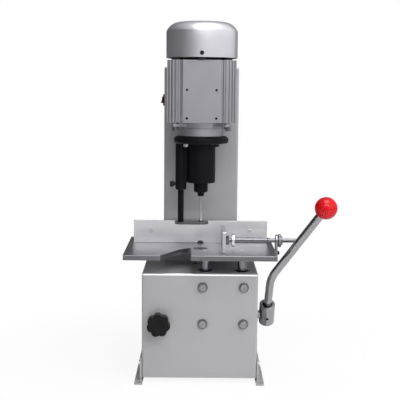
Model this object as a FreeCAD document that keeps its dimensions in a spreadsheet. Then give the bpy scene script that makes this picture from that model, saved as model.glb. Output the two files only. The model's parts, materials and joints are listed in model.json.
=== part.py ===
"""Paper drill: a bench machine whose lever lifts the table to a fixed, motor-driven bit.

Lengths are in millimetres. +X is to the operator's right, +Y away from the operator and +Z up.
The origin is the centre of the four foot holes, on the bench.
"""
import FreeCAD, Part
import math
import os
from types import SimpleNamespace

import Sketcher

Vector = FreeCAD.Vector
document = FreeCAD.newDocument("PaperDrill")
nodes = []

# ---------------------------------------------------------------- driving sizes

SIZES = {
    # cabinet: a folded sheet box, open below and behind
    "cabinet_half": 115.0,
    "cabinet_floor": 10.0,
    "cabinet_top": 222.0,
    "sheet_thick": 3.0,
    "bend_radius": 4.0,
    "back_lip": 13.0,
    "cover_thick": 2.0,
    # foot angles and their bench holes
    "foot_inner": 113.0,
    "foot_outer": 129.0,
    "foot_reach": 131.5,
    "foot_thick": 4.0,
    "foot_web_top": 48.0,
    "bench_hole_x": 120.5,
    "bench_hole_y": 124.0,
    "bench_hole_radius": 4.25,
    # column
    "column_half": 77.0,
    "column_front": 12.0,
    "column_back": 112.0,
    "column_top": 628.0,
    "column_plate": 5.0,
    # drill axis and head casting
    "drill_y": -64.0,
    "head_radius": 28.5,
    "head_bottom": 398.0,
    "flange_bottom": 476.5,
    "motor_face": 490.0,
    "flange_radius": 54.0,
    "flange_chamfer": 2.5,
    "flange_shoulder": 4.0,
    "flange_bolt_x": 30.0,
    "flange_bolt_y": 24.0,
    "boss_radius": 11.0,
    "boss_bottom": 383.5,
    "arm_half": 21.0,
    "pad_half": 29.0,
    "pad_thick": 9.0,
    "head_bolt_x": 18.0,
    "head_bolt_low": 414.0,
    "head_bolt_high": 462.0,
    # presser
    "presser_x": -40.0,
    "presser_radius": 6.0,
    "presser_foot_bottom": 314.1,
    "presser_foot_thick": 5.0,
    "presser_foot_radius": 14.0,
    "presser_foot_right": 16.0,
    "presser_rod_top": 430.0,
    "clamp_screw_height": 394.5,
    "clamp_head_radius": 6.0,
    "clamp_reach": 10.8,
    # running clearance of every shaft in its hole, on the radius
    "running_gap": 0.05,
    # spindle, chuck and bit
    "spindle_radius": 6.0,
    "chuck_radius": 14.2,
    "chuck_bottom": 379.0,
    "chuck_top": 397.4,
    "nose_radius": 6.5,
    "nose_bottom": 370.5,
    "bit_radius": 2.75,
    "bit_tip": 314.3,
    # motor
    "motor_shaft_radius": 7.0,
    "motor_journal_radius": 7.5,
    "bearing_outer": 17.5,
    "bearing_wide": 11.0,
    "frame_bottom": 518.5,
    "frame_top": 638.0,
    "frame_half": 67.0,
    "frame_core_radius": 57.0,
    "frame_bore_radius": 52.0,
    "frame_pad_half": 38.0,
    "frame_pad_front": 62.0,
    "frame_pad_bend": 3.0,
    "frame_fin_thick": 3.0,
    "comb_fin_thick": 2.4,
    "frame_fin_pitch": 9.5,
    "pad_hole_x": 28.2,
    "pad_hole_low": 527.0,
    "pad_hole_high": 581.0,
    "pad_hole_radius": 2.4,
    "tie_bolt_offset": 51.0,
    "tie_boss_radius": 5.6,
    "lower_ear_tall": 7.5,
    "upper_ear_tall": 2.5,
    "tier_small_radius": 44.0,
    "tier_large_radius": 47.5,
    "tier_split": 507.5,
    "cowl_radius": 70.0,
    "cowl_wall": 1.5,
    "cowl_rim": 643.0,
    "cowl_dome_start": 25.0,
    "cowl_dome_run": 28.7,
    "cowl_dome_rise": 31.2,
    "cowl_dome_radius": 44.0,
    "cowl_dome_height": 680.8,
    "cowl_crown": 715.0,
    "cowl_screw_height": 651.0,
    "fan_bottom": 664.0,
    "fan_radius": 60.0,
    # worktable
    "table_half": 150.0,
    "table_front": -143.0,
    "table_back": 68.0,
    "table_top": 263.5,
    "table_thick": 10.0,
    "table_slot_half": 85.0,
    "table_slot_front": 6.0,
    "notch_left": -78.0,
    "notch_knee_x": -39.0,
    "notch_knee_y": -75.0,
    "notch_right": -18.0,
    "notch_depth_y": -57.0,
    "notch_fillet": 3.5,
    "pad_radius": 15.0,
    "pad_depth": 6.0,
    "table_travel": 50.0,
    # fence
    "fence_half": 139.5,
    "fence_face": -0.8,
    "fence_thick": 5.0,
    "fence_tall": 46.5,
    "fence_lift": 0.3,
    "fence_screw_x": 103.0,
    "fence_screw_height": 288.5,
    "fence_travel": 15.0,
    # side stop
    "gauge_y": -79.0,
    "gauge_z": 283.5,
    "gauge_rod_radius": 4.0,
    "gauge_sleeve_radius": 5.3,
    "gauge_rod_end": 200.0,
    "stop_plate_left": 43.5,
    "stop_plate_right": 50.0,
    "stop_plate_front": -118.8,
    "stop_plate_back": -21.0,
    "stop_plate_top": 306.2,
    "gauge_disc_radius": 13.3,
    # guide rods and their blocks
    "rod_left_x": 10.0,
    "rod_right_x": 84.0,
    "rod_y": -81.0,
    "rod_radius": 9.0,
    "rod_bottom": 49.0,
    "bush_radius": 12.0,
    "block_back": -60.0,
    "block_left": -12.0,
    "block_right": 104.0,
    "upper_block_low": 180.0,
    "upper_block_high": 210.0,
    "lower_block_low": 106.0,
    "lower_block_high": 136.0,
    "bolt_left_x": 5.5,
    "bolt_right_x": 86.5,
    "bolt_upper_z": 195.0,
    "bolt_lower_z": 121.0,
    # lever shaft, sector gear and rack
    "shaft_y": -49.0,
    "shaft_z": 124.0,
    "shaft_radius": 8.0,
    "gear_module": 2.0,
    "gear_teeth": 40.0,
    "gear_half": 7.0,
    "rack_half": 8.0,
    "rack_back": 4.0,
    "rack_bottom": 58.0,
    # lever
    "lever_lean": 25.0,
    "lever_tilt": 30.0,
    "hub_x": 138.0,
    "hub_radius": 16.0,
    "hub_below": 22.0,
    "hub_above": 28.0,
    "lever_rod_radius": 8.0,
    "lever_bend_x": 141.5,
    "lever_bend_height": 94.0,
    "lever_bend_radius": 75.0,
    "ball_height": 261.0,
    "ball_radius": 21.5,
    # depth stop and its star knob
    "knob_x": -81.0,
    "knob_z": 123.0,
    "knob_radius": 23.3,
    "knob_lobe": 9.5,
    "knob_turn": 5.0,
    "stop_travel": 12.0,
    # switch
    "switch_y": 45.0,
    "switch_z": 560.0,
    "switch_tall": 24.0,
    "switch_wide": 18.0,
    "switch_bezel": 3.6,
    "switch_pivot": -78.5,
}


class Size:
    """A cell of the sheet, or a length worked out from cells: its value and its formula."""

    def __init__(self, value, formula):
        self.value = value
        self.formula = formula

    def __add__(self, other):
        other = as_size(other)
        return Size(self.value + other.value, f"({self.formula} + {other.formula})")

    def __sub__(self, other):
        other = as_size(other)
        return Size(self.value - other.value, f"({self.formula} - {other.formula})")

    def __mul__(self, other):
        other = as_size(other)
        return Size(self.value * other.value, f"({self.formula} * {other.formula})")

    def __truediv__(self, other):
        other = as_size(other)
        return Size(self.value / other.value, f"({self.formula} / {other.formula})")

    def __neg__(self):
        return self * -1.0

    def __rsub__(self, other):
        return as_size(other) - self

    __radd__ = __add__
    __rmul__ = __mul__


def as_size(number):
    """Turns a plain number into a Size, and leaves a Size as it is."""
    if isinstance(number, Size):
        return number
    return Size(float(number), f"({float(number)})")


def cosine(angle):
    """The cosine of an angle in degrees."""
    return Size(math.cos(math.radians(angle.value)), f"cos({angle.formula} * 1 deg)")


def sine(angle):
    """The sine of an angle in degrees."""
    return Size(math.sin(math.radians(angle.value)), f"sin({angle.formula} * 1 deg)")


def make_sheet():
    """Fills the sheet with the driving sizes, one alias a row, and returns them by name."""
    sheet = document.addObject("Spreadsheet::Sheet", "Sizes")
    for row, (name, number) in enumerate(SIZES.items(), start=1):
        sheet.set(f"A{row}", name)
        sheet.set(f"B{row}", str(number))
        sheet.setAlias(f"B{row}", name)
    document.recompute()
    return SimpleNamespace(**{name: Size(number, f"Sizes.{name}") for name, number in SIZES.items()})


dim = make_sheet()
FOOT_SCREW_Y = (-85, 0, 85)
FOOT_SCREW_Z = 30
LEVER_FOOT = 9.0
# shank radii of the screws, and the radii of the holes that clear them
M4 = 2
M6 = 3
M8 = 4
M12 = 5.9
M6_CLEAR = 3.3
M8_CLEAR = 4.5
M12_CLEAR = 6.5
table_bottom = dim.table_top - dim.table_thick
cabinet_front = -dim.cabinet_half
inner_front = cabinet_front + dim.sheet_thick
gear_pitch_radius = dim.gear_module * dim.gear_teeth / 2

# ---------------------------------------------------------------- sketches and features


def bind(item, name, size):
    """Sets a property of an object to a size, through its formula."""
    item.setExpression(name, as_size(size).formula)


def keep(item, label):
    """Marks an object as a sub-part that gets a file of its own."""
    item.Label = label
    nodes.append(item)
    return item


def move(item, x=0, y=0, z=0, axis=None, angle=0.0):
    """Places an object, turned about an axis by an angle in degrees."""
    rotation = FreeCAD.Rotation(axis or Vector(0, 0, 1), angle)
    item.Placement = FreeCAD.Placement(Vector(0, 0, 0), rotation)
    for name, size in (("x", x), ("y", y), ("z", z)):
        bind(item, f"Placement.Base.{name}", size)
    return item


def along_x(item, x=0, y=0, z=0):
    """Places an object whose own axis is Z so that the axis points to +X."""
    return move(item, x, y, z, Vector(0, 1, 0), 90)


def along_back(item, x=0, y=0, z=0):
    """Places an object whose own axis is Z so that the axis points to +Y."""
    return move(item, x, y, z, Vector(1, 0, 0), -90)


def new_body(label):
    """Makes an empty body that is a sub-part."""
    return keep(document.addObject("PartDesign::Body", label), label)


def new_sketch(body, plane, height):
    """Makes a sketch on an origin plane of the body, moved along that plane's world axis."""
    sketch = body.newObject("Sketcher::SketchObject", "Profile")
    support = next(item for item in body.Origin.OriginFeatures if item.Role == f"{plane}_Plane")
    sketch.AttachmentSupport = [(support, "")]
    sketch.MapMode = "FlatFace"
    offset = -as_size(height) if plane == "XZ" else as_size(height)
    bind(sketch, "AttachmentOffset.Base.z", offset)
    return sketch


def pin_point(sketch, geometry, end, x, y):
    """Ties a point of a sketch to its two distances from the origin."""
    for kind, size in (("DistanceX", as_size(x)), ("DistanceY", as_size(y))):
        index = sketch.addConstraint(Sketcher.Constraint(kind, -1, 1, geometry, end, size.value))
        sketch.setExpression(f"Constraints[{index}]", size.formula)


def pin_radius(sketch, geometry, radius):
    """Ties the radius of a circle or arc."""
    index = sketch.addConstraint(Sketcher.Constraint("Radius", geometry, as_size(radius).value))
    sketch.setExpression(f"Constraints[{index}]", as_size(radius).formula)


def draw_polygon(sketch, points):
    """Draws a closed outline through points that are pairs of sizes."""
    spots = [Vector(as_size(x).value, as_size(y).value, 0) for x, y in points]
    count = len(spots)
    first = sketch.GeometryCount
    for index in range(count):
        sketch.addGeometry(Part.LineSegment(spots[index], spots[(index + 1) % count]), False)
    for index in range(count):
        following = first + (index + 1) % count
        sketch.addConstraint(Sketcher.Constraint("Coincident", first + index, 2, following, 1))
    for index, (x, y) in enumerate(points):
        pin_point(sketch, first + index, 1, x, y)


def draw_circle(sketch, x, y, radius):
    """Draws a circle."""
    centre = Vector(as_size(x).value, as_size(y).value, 0)
    circle = Part.Circle(centre, Vector(0, 0, 1), as_size(radius).value)
    index = sketch.addGeometry(circle, False)
    pin_point(sketch, index, 3, x, y)
    pin_radius(sketch, index, radius)


def rectangle(left, right, low, high):
    """The outline of a rectangle."""
    return ("polygon", [(left, low), (right, low), (right, high), (left, high)])


def polygon(*points):
    """An outline through the given points."""
    return ("polygon", list(points))


def circle(x, y, radius):
    """A round outline."""
    return ("circle", x, y, radius)


def draw(sketch, outlines):
    """Draws each outline of a list in the sketch."""
    for kind, *values in outlines:
        if kind == "circle":
            draw_circle(sketch, *values)
        else:
            draw_polygon(sketch, values[0])


def volume(body):
    """The volume of the body's last feature, or nothing before the first."""
    if body.Tip is None:
        return 0.0
    if body.Tip.Shape.isNull():
        raise RuntimeError(f"{body.Label} failed at {body.Tip.Label}")
    return body.Tip.Shape.Volume


def pad(body, plane, low, high, *outlines):
    """Adds material between two places along the plane's axis."""
    start = high if plane == "XZ" else low
    sketch = new_sketch(body, plane, start)
    draw(sketch, outlines)
    feature = body.newObject("PartDesign::Pad", "Pad")
    feature.Profile = sketch
    bind(feature, "Length", as_size(high) - low)
    document.recompute()
    return feature


def pocket(body, plane, low, high, *outlines):
    """Takes material away between two places along the plane's axis."""
    before = volume(body)
    start = low if plane == "XZ" else high
    sketch = new_sketch(body, plane, start)
    draw(sketch, outlines)
    feature = body.newObject("PartDesign::Pocket", "Pocket")
    feature.Profile = sketch
    bind(feature, "Length", as_size(high) - low)
    document.recompute()
    if not feature.Shape.Volume < before - 1e-6:
        raise RuntimeError(f"a pocket of {body.Label} cuts nothing")
    return feature


def turn(body, *outlines, cut=False):
    """Revolves outlines, drawn as radius and height, about the body's own Z axis."""
    before = volume(body)
    sketch = new_sketch(body, "XZ", 0)
    draw(sketch, outlines)
    kind = "Groove" if cut else "Revolution"
    feature = body.newObject(f"PartDesign::{kind}", kind)
    feature.Profile = sketch
    feature.ReferenceAxis = (sketch, ["V_Axis"])
    feature.Angle = 360
    document.recompute()
    if cut and not feature.Shape.Volume < before - 1e-6:
        raise RuntimeError(f"a groove of {body.Label} cuts nothing")
    return feature


def repeat_round(body, feature, count, role="Z_Axis"):
    """Repeats a feature evenly about an axis of the body."""
    pattern = body.newObject("PartDesign::PolarPattern", "PolarPattern")
    pattern.Originals = [feature]
    axis = next(item for item in body.Origin.OriginFeatures if item.Role == role)
    pattern.Axis = (axis, [""])
    pattern.Angle = 360
    pattern.Occurrences = count
    body.Tip = pattern
    document.recompute()
    return pattern


def repeat_line(body, feature, count, role, pitch):
    """Repeats a feature along an axis of the body."""
    pattern = body.newObject("PartDesign::LinearPattern", "LinearPattern")
    pattern.Originals = [feature]
    axis = next(item for item in body.Origin.OriginFeatures if item.Role == role)
    pattern.Direction = (axis, [""])
    pattern.Occurrences = count
    bind(pattern, "Length", as_size(pitch) * (count - 1))
    body.Tip = pattern
    document.recompute()
    return pattern


def edges_where(feature, test):
    """Names the edges of a feature whose middle point and direction pass a test."""
    names = []
    for index, edge in enumerate(feature.Shape.Edges, start=1):
        middle = edge.valueAt((edge.FirstParameter + edge.LastParameter) / 2)
        direction = edge.tangentAt((edge.FirstParameter + edge.LastParameter) / 2)
        if test(middle, direction):
            names.append(f"Edge{index}")
    return names


def soften(body, kind, test, size):
    """Fillets or chamfers the edges of the body's last feature that pass a test."""
    base = body.Tip
    feature = body.newObject(f"PartDesign::{kind}", kind)
    feature.Base = (base, edges_where(base, test))
    bind(feature, "Radius" if kind == "Fillet" else "Size", size)
    document.recompute()
    return feature


# ---------------------------------------------------------------- solids of Part


def cylinder(radius, height):
    """A plain cylinder that stands on its own origin."""
    item = document.addObject("Part::Cylinder", "Cylinder")
    bind(item, "Radius", radius)
    bind(item, "Height", height)
    return item


def block(left, right, front, back, low, high):
    """A plain box between six world planes."""
    item = document.addObject("Part::Box", "Box")
    bind(item, "Length", as_size(right) - left)
    bind(item, "Width", as_size(back) - front)
    bind(item, "Height", as_size(high) - low)
    return move(item, left, front, low)


def hexagon(radius, height):
    """A six-sided prism that stands on its own origin; the radius runs to its corners."""
    item = document.addObject("Part::Prism", "Hexagon")
    item.Polygon = 6
    bind(item, "Circumradius", radius)
    bind(item, "Height", height)
    return item


def joined(items):
    """The union of some solids."""
    item = document.addObject("Part::MultiFuse", "Union")
    item.Shapes = items
    item.Refine = True
    return item


def without(base, tool):
    """A solid less another."""
    item = document.addObject("Part::Cut", "Cut")
    item.Base = base
    item.Tool = tool
    return item


def group(label, items):
    """A sub-part of several separate solids."""
    item = document.addObject("Part::Compound", label)
    item.Links = items
    return keep(item, label)


def ring(outer, inner, height):
    """A plain ring that stands on its own origin."""
    return without(cylinder(outer, height), cylinder(inner, height))


def cap_screw(head_radius, head_tall, radius, length):
    """A socket-head screw: its shank runs up +Z from the head's seat, and its head lies below."""
    head = move(cylinder(head_radius, head_tall), z=-as_size(head_tall))
    socket = move(hexagon(head_radius * 0.55, head_tall * 0.5), z=-as_size(head_tall))
    return without(joined([head, cylinder(radius, length)]), socket)


def hexagon_bolt(corner_radius, head_tall, radius, length):
    """A six-sided bolt: its shank runs up +Z from the head's seat, and its head lies below."""
    head = move(hexagon(corner_radius, head_tall), z=-as_size(head_tall))
    return joined([head, cylinder(radius, length)])


def flat_screw(head_radius, head_tall, radius, length):
    """A countersunk screw: its flush face lies at the origin and its shank runs up +Z."""
    cone = document.addObject("Part::Cone", "Cone")
    bind(cone, "Radius1", head_radius)
    bind(cone, "Radius2", radius)
    bind(cone, "Height", head_tall)
    return without(joined([cone, cylinder(radius, length)]), hexagon(radius * 0.7, head_tall * 0.7))


def corners(half_x, half_y):
    """The four corners of a centred rectangle."""
    return [(sx * half_x, sy * half_y) for sx in (-1, 1) for sy in (-1, 1)]


# ---------------------------------------------------------------- cabinet and column


def build_cabinet():
    """The folded sheet box, its back cover, the two foot angles and their screws."""
    half = dim.cabinet_half
    sheet = dim.sheet_thick
    top_inner = dim.cabinet_top - sheet
    lip_side = half - dim.back_lip
    shell = new_body("cabinet_shell")
    pad(shell, "XY", dim.cabinet_floor, dim.cabinet_top, rectangle(-half, half, -half, half))
    soften(shell, "Fillet", is_cabinet_bend, dim.bend_radius)
    pocket(shell, "XY", dim.cabinet_floor, top_inner,
           rectangle(sheet - half, half - sheet, sheet - half, half - sheet))
    pocket(shell, "XZ", half - sheet, half,
           rectangle(-lip_side, lip_side, dim.cabinet_floor, dim.cabinet_top - dim.back_lip))
    rod_hole = 15.5
    rack_hole = rectangle(-14, 14, -18, 8)
    pocket(shell, "XY", top_inner, dim.cabinet_top,
           circle(dim.rod_left_x, dim.rod_y, rod_hole),
           circle(dim.rod_right_x, dim.rod_y, rod_hole),
           rack_hole,
           wiring_hole(),
           *[circle(x, y, M8_CLEAR) for x, y in column_bolt_places()])
    slot_left = dim.knob_x - M8_CLEAR
    slot_right = dim.knob_x + M8_CLEAR
    slot_low = dim.knob_z - M8_CLEAR
    slot_high = dim.knob_z + dim.stop_travel + M8_CLEAR
    pocket(shell, "XZ", -half, sheet - half,
           rectangle(slot_left, slot_right, slot_low, slot_high),
           *[circle(x, z, M12_CLEAR) for x, z in block_bolt_places()])
    shaft_hole = 14
    pocket(shell, "YZ", half - sheet, half, circle(dim.shaft_y, dim.shaft_z, shaft_hole))
    foot_holes = [circle(y, FOOT_SCREW_Z, M6) for y in FOOT_SCREW_Y]
    pocket(shell, "YZ", half - sheet, half, *foot_holes)
    pocket(shell, "YZ", -half, sheet - half, *foot_holes)
    pocket(shell, "XZ", half - sheet, half, *[circle(x, z, M4) for x, z in cabinet_cover_screws()])

    cover = new_body("cabinet_back_cover")
    pad(cover, "XZ", half, half + dim.cover_thick,
        rectangle(3 - half, half - 3, dim.cabinet_floor + 2, dim.cabinet_top - 3))
    louvre = pocket(cover, "XZ", half, half + dim.cover_thick, rectangle(-60, 60, 60, 64))
    repeat_line(cover, louvre, 6, "Z_Axis", 10)
    pocket(cover, "XZ", half, half + dim.cover_thick, circle(-75, 40, 8.1),
           *[circle(x, z, M4) for x, z in cabinet_cover_screws()])

    for label, side in (("foot_angle_left", -1), ("foot_angle_right", 1)):
        foot = new_body(label)
        flange = [side * dim.foot_inner, side * dim.foot_outer]
        flange.sort(key=lambda size: size.value)
        pad(foot, "XY", 0, dim.foot_thick, rectangle(*flange, -dim.foot_reach, dim.foot_reach))
        web = [side * half, side * (half + dim.foot_thick)]
        web.sort(key=lambda size: size.value)
        pad(foot, "XY", 0, dim.foot_web_top, rectangle(*web, -half, half))
        soften(foot, "Fillet", is_upright_foot_corner, 3)
        pocket(foot, "XY", 0, dim.foot_thick,
               circle(side * dim.bench_hole_x, -dim.bench_hole_y, dim.bench_hole_radius),
               circle(side * dim.bench_hole_x, dim.bench_hole_y, dim.bench_hole_radius))
        pocket(foot, "YZ", *web, *foot_holes)
    screws = []
    for side in (-1, 1):
        for y in FOOT_SCREW_Y:
            turn_to = 90 if side < 0 else -90
            x = side * (half + dim.foot_thick)
            screw = cap_screw(5, 4, M6, 9)
            screws.append(move(screw, x, y, FOOT_SCREW_Z, Vector(0, 1, 0), turn_to))
    group("foot_screws", screws)


def wiring_hole():
    """The hole between the cabinet and the column that the wires run through."""
    return circle(0, 62, 18)


def cabinet_cover_screws():
    """The six screws of the cabinet's back cover."""
    return [(side * (dim.cabinet_half - 6.5), z) for side in (-1, 1) for z in (30, 115, 200)]


def column_cover_screws():
    """The six screws of the column's back cover."""
    return [(side * (dim.column_half - 6), z) for side in (-1, 1) for z in (250, 425, 600)]


def is_cabinet_bend(middle, direction):
    """The upright front edges and the three top edges of the cabinet."""
    upright_front = abs(direction.z) > 0.9 and middle.y < 0
    top = middle.z > dim.cabinet_top.value - 1 and middle.y < dim.cabinet_half.value - 1
    return upright_front or top


def is_upright_foot_corner(middle, direction):
    """The upright corners at the ends of a foot flange."""
    return abs(direction.z) > 0.9 and abs(middle.y) > dim.foot_reach.value - 1


def column_bolt_places():
    """The four bolts that hold the column to the cabinet's top."""
    return [(x, y) for x in (-50, 50) for y in (32, 92)]


def block_bolt_places():
    """The four bolts that hold the guide blocks behind the front panel."""
    heights = (dim.bolt_lower_z, dim.bolt_upper_z)
    return [(x, z) for x in (dim.bolt_left_x, dim.bolt_right_x) for z in heights]


def head_bolt_places():
    """The four bolts that hold the head casting to the column."""
    heights = (dim.head_bolt_low, dim.head_bolt_high)
    return [(x, z) for x in (-dim.head_bolt_x, dim.head_bolt_x) for z in heights]


def build_column():
    """The folded column, its back cover, its base bolts and the cover screws."""
    half = dim.column_half
    sheet = dim.sheet_thick
    shell = new_body("column_shell")
    pad(shell, "XY", dim.cabinet_top, dim.column_top,
        rectangle(-half, half, dim.column_front, dim.column_back))
    soften(shell, "Fillet", is_column_bend, dim.bend_radius)
    inner_low = dim.cabinet_top + dim.column_plate
    inner_high = dim.column_top - sheet
    pocket(shell, "XZ", dim.column_front + sheet, dim.column_back - sheet,
           rectangle(sheet - half, half - sheet, inner_low, inner_high))
    lip = 12
    pocket(shell, "XZ", dim.column_back - sheet, dim.column_back,
           rectangle(lip - half, half - lip, inner_low + lip, inner_high - lip))
    pocket(shell, "XY", dim.cabinet_top, inner_low, wiring_hole(),
           *[circle(x, y, M8_CLEAR) for x, y in column_bolt_places()])
    pocket(shell, "XZ", dim.column_back - sheet, dim.column_back,
           *[circle(x, z, M4) for x, z in column_cover_screws()])
    pocket(shell, "XZ", dim.column_front, dim.column_front + sheet,
           *[circle(x, z, M8_CLEAR) for x, z in head_bolt_places()])
    pocket(shell, "YZ", -half, sheet - half,
           rectangle(dim.switch_y - 6.5, dim.switch_y + 6.5, dim.switch_z - 9.7, dim.switch_z + 9.7))

    cover = new_body("column_back_cover")
    pad(cover, "XZ", dim.column_back, dim.column_back + dim.cover_thick,
        rectangle(3 - half, half - 3, dim.cabinet_top + 4, dim.column_top - 4))
    pocket(cover, "XZ", dim.column_back, dim.column_back + dim.cover_thick,
           *[circle(x, z, M4) for x, z in column_cover_screws()])

    bolts = []
    for x, y in column_bolt_places():
        bolts.append(move(cap_screw(6.5, 8, M8, 18), x, y, inner_low, Vector(1, 0, 0), 180))
    group("column_bolts", bolts)

    screws = []
    for x, z in cabinet_cover_screws():
        screws.append(along_front(cap_screw(3.5, 2.5, M4, 5), x, dim.cabinet_half + dim.cover_thick, z))
    for x, z in column_cover_screws():
        screws.append(along_front(cap_screw(3.5, 2.5, M4, 5), x, dim.column_back + dim.cover_thick, z))
    group("cover_screws", screws)


def along_front(item, x=0, y=0, z=0):
    """Places an object whose own axis is Z so that the axis points to -Y."""
    return move(item, x, y, z, Vector(1, 0, 0), 90)


def is_column_bend(middle, direction):
    """The upright front edges of the column."""
    return abs(direction.z) > 0.9 and middle.y < dim.column_front.value + 1


def build_electrics():
    """The switch, the capacitor inside the column and the gland for the mains lead."""
    wall = -dim.column_half
    housing = new_body("switch_housing")
    bezel_half_y = dim.switch_wide / 2
    bezel_half_z = dim.switch_tall / 2
    bezel_face = wall - dim.switch_bezel
    pad(housing, "YZ", bezel_face, wall,
        rectangle(dim.switch_y - bezel_half_y, dim.switch_y + bezel_half_y,
                  dim.switch_z - bezel_half_z, dim.switch_z + bezel_half_z))
    pad(housing, "YZ", wall, wall + 20,
        rectangle(dim.switch_y - 6.4, dim.switch_y + 6.4, dim.switch_z - 9.6, dim.switch_z + 9.6))
    pocket(housing, "YZ", bezel_face, wall + 9,
           rectangle(dim.switch_y - 5.4, dim.switch_y + 5.4, dim.switch_z - 8.8, dim.switch_z + 8.8))

    pivot_x = dim.switch_pivot
    pin = 1.2
    pocket(housing, "XZ", dim.switch_y - 6.4, dim.switch_y + 6.4,
           circle(pivot_x, dim.switch_z, pin + dim.running_gap))
    rocker = new_body("switch_rocker")
    pad(rocker, "XZ", dim.switch_y - 5, dim.switch_y + 5,
        polygon((pivot_x + 1.5, dim.switch_z + 5.5), (pivot_x - 5, dim.switch_z + 7),
                (pivot_x - 7, dim.switch_z - 7), (pivot_x + 1.5, dim.switch_z - 5.5)))
    pad(rocker, "XZ", dim.switch_y - 6.3, dim.switch_y + 6.3, circle(pivot_x, dim.switch_z, pin))

    can = turned_body("run_capacitor", 0, dim.column_front + dim.sheet_thick + 21.5, 300,
                      polygon((0, 0), (17.5, 0), (17.5, 20), (19, 20), (19, 40), (17.5, 40),
                              (17.5, 70), (14, 70), (14, 74), (0, 74)))
    pad(can, "XY", 20, 40, rectangle(-12, 12, -21.5, -14))

    gland = turned("cable_gland",
                   polygon((3.2, -10), (8, -10), (8, 2), (11, 2), (11, 7), (8.5, 9), (6.5, 18), (3.2, 18)))
    along_back(gland, -75, dim.cabinet_half, 40)


def turned(label, *outlines):
    """A sub-part revolved about its own Z axis, still at the origin."""
    body = new_body(label)
    turn(body, *outlines)
    return body


def turned_body(label, x, y, z, *outlines):
    """A sub-part revolved about an upright axis through the given place."""
    return move(turned(label, *outlines), x, y, z)


# ---------------------------------------------------------------- head, spindle and presser


def build_head():
    """The head casting with its arm and presser boss, and the bolts that hold it."""
    half_pad = dim.pad_half
    pad_front = dim.column_front - dim.pad_thick
    casting = new_body("head_casting")
    move(casting, 0, dim.drill_y, 0)
    body_low = dim.head_bottom
    flange_low = dim.flange_bottom
    chamfer = dim.flange_chamfer
    shoulder = dim.flange_shoulder
    turn(casting, polygon((0, body_low), (dim.head_radius, body_low), (dim.head_radius, flange_low),
                          (dim.flange_radius - chamfer, flange_low),
                          (dim.flange_radius, flange_low + chamfer),
                          (dim.flange_radius, dim.motor_face - shoulder),
                          (dim.flange_radius - shoulder, dim.motor_face), (0, dim.motor_face)))
    pad(casting, "XY", dim.boss_bottom, flange_low, circle(dim.presser_x, 0, dim.boss_radius))
    pad(casting, "XZ", -8, 8, rectangle(dim.presser_x, 0, body_low + 1, flange_low))
    pad(casting, "YZ", -dim.arm_half, dim.arm_half,
        polygon((0, body_low + 4), (pad_front - dim.drill_y, body_low + 10),
                (pad_front - dim.drill_y, flange_low - 4), (0, flange_low)))
    pad(casting, "XZ", pad_front - dim.drill_y, dim.column_front - dim.drill_y,
        rectangle(-half_pad, half_pad, body_low, flange_low - 2))
    bore_floor = body_low + 3
    bore_step = 440
    bearing_bore = 16
    coupling_bore = 22
    turn(casting, polygon((0, bore_floor), (bearing_bore, bore_floor), (bearing_bore, bore_step),
                          (coupling_bore, bore_step), (coupling_bore, dim.motor_face),
                          (0, dim.motor_face)), cut=True)
    turn(casting, rectangle(0, 11, body_low, bore_floor), cut=True)
    pocket(casting, "XY", dim.boss_bottom, flange_low + 3,
           circle(dim.presser_x, 0, dim.presser_radius + dim.running_gap))
    pocket(casting, "XY", flange_low, dim.motor_face,
           *[circle(x, y, M6_CLEAR) for x, y in flange_bolt_places()])
    pocket(casting, "XZ", dim.column_front - dim.drill_y - 16, dim.column_front - dim.drill_y,
           *[circle(x, z, M8) for x, z in head_bolt_places()])
    pocket(casting, "YZ", dim.presser_x - dim.boss_radius, dim.presser_x,
           circle(0, dim.clamp_screw_height, M6 + dim.running_gap))

    bolts = []
    for x, y in flange_bolt_places():
        bolts.append(move(cap_screw(5, 6, M6, 20), x, dim.drill_y + y, flange_low))
    for x, z in head_bolt_places():
        bolts.append(along_front(cap_screw(6.5, 8, M8, 18), x, dim.column_front + dim.sheet_thick, z))
    group("head_bolts", bolts)


def flange_bolt_places():
    """The four screws between the head's flange and the motor, from the drill axis."""
    return corners(dim.flange_bolt_x, dim.flange_bolt_y)


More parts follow.
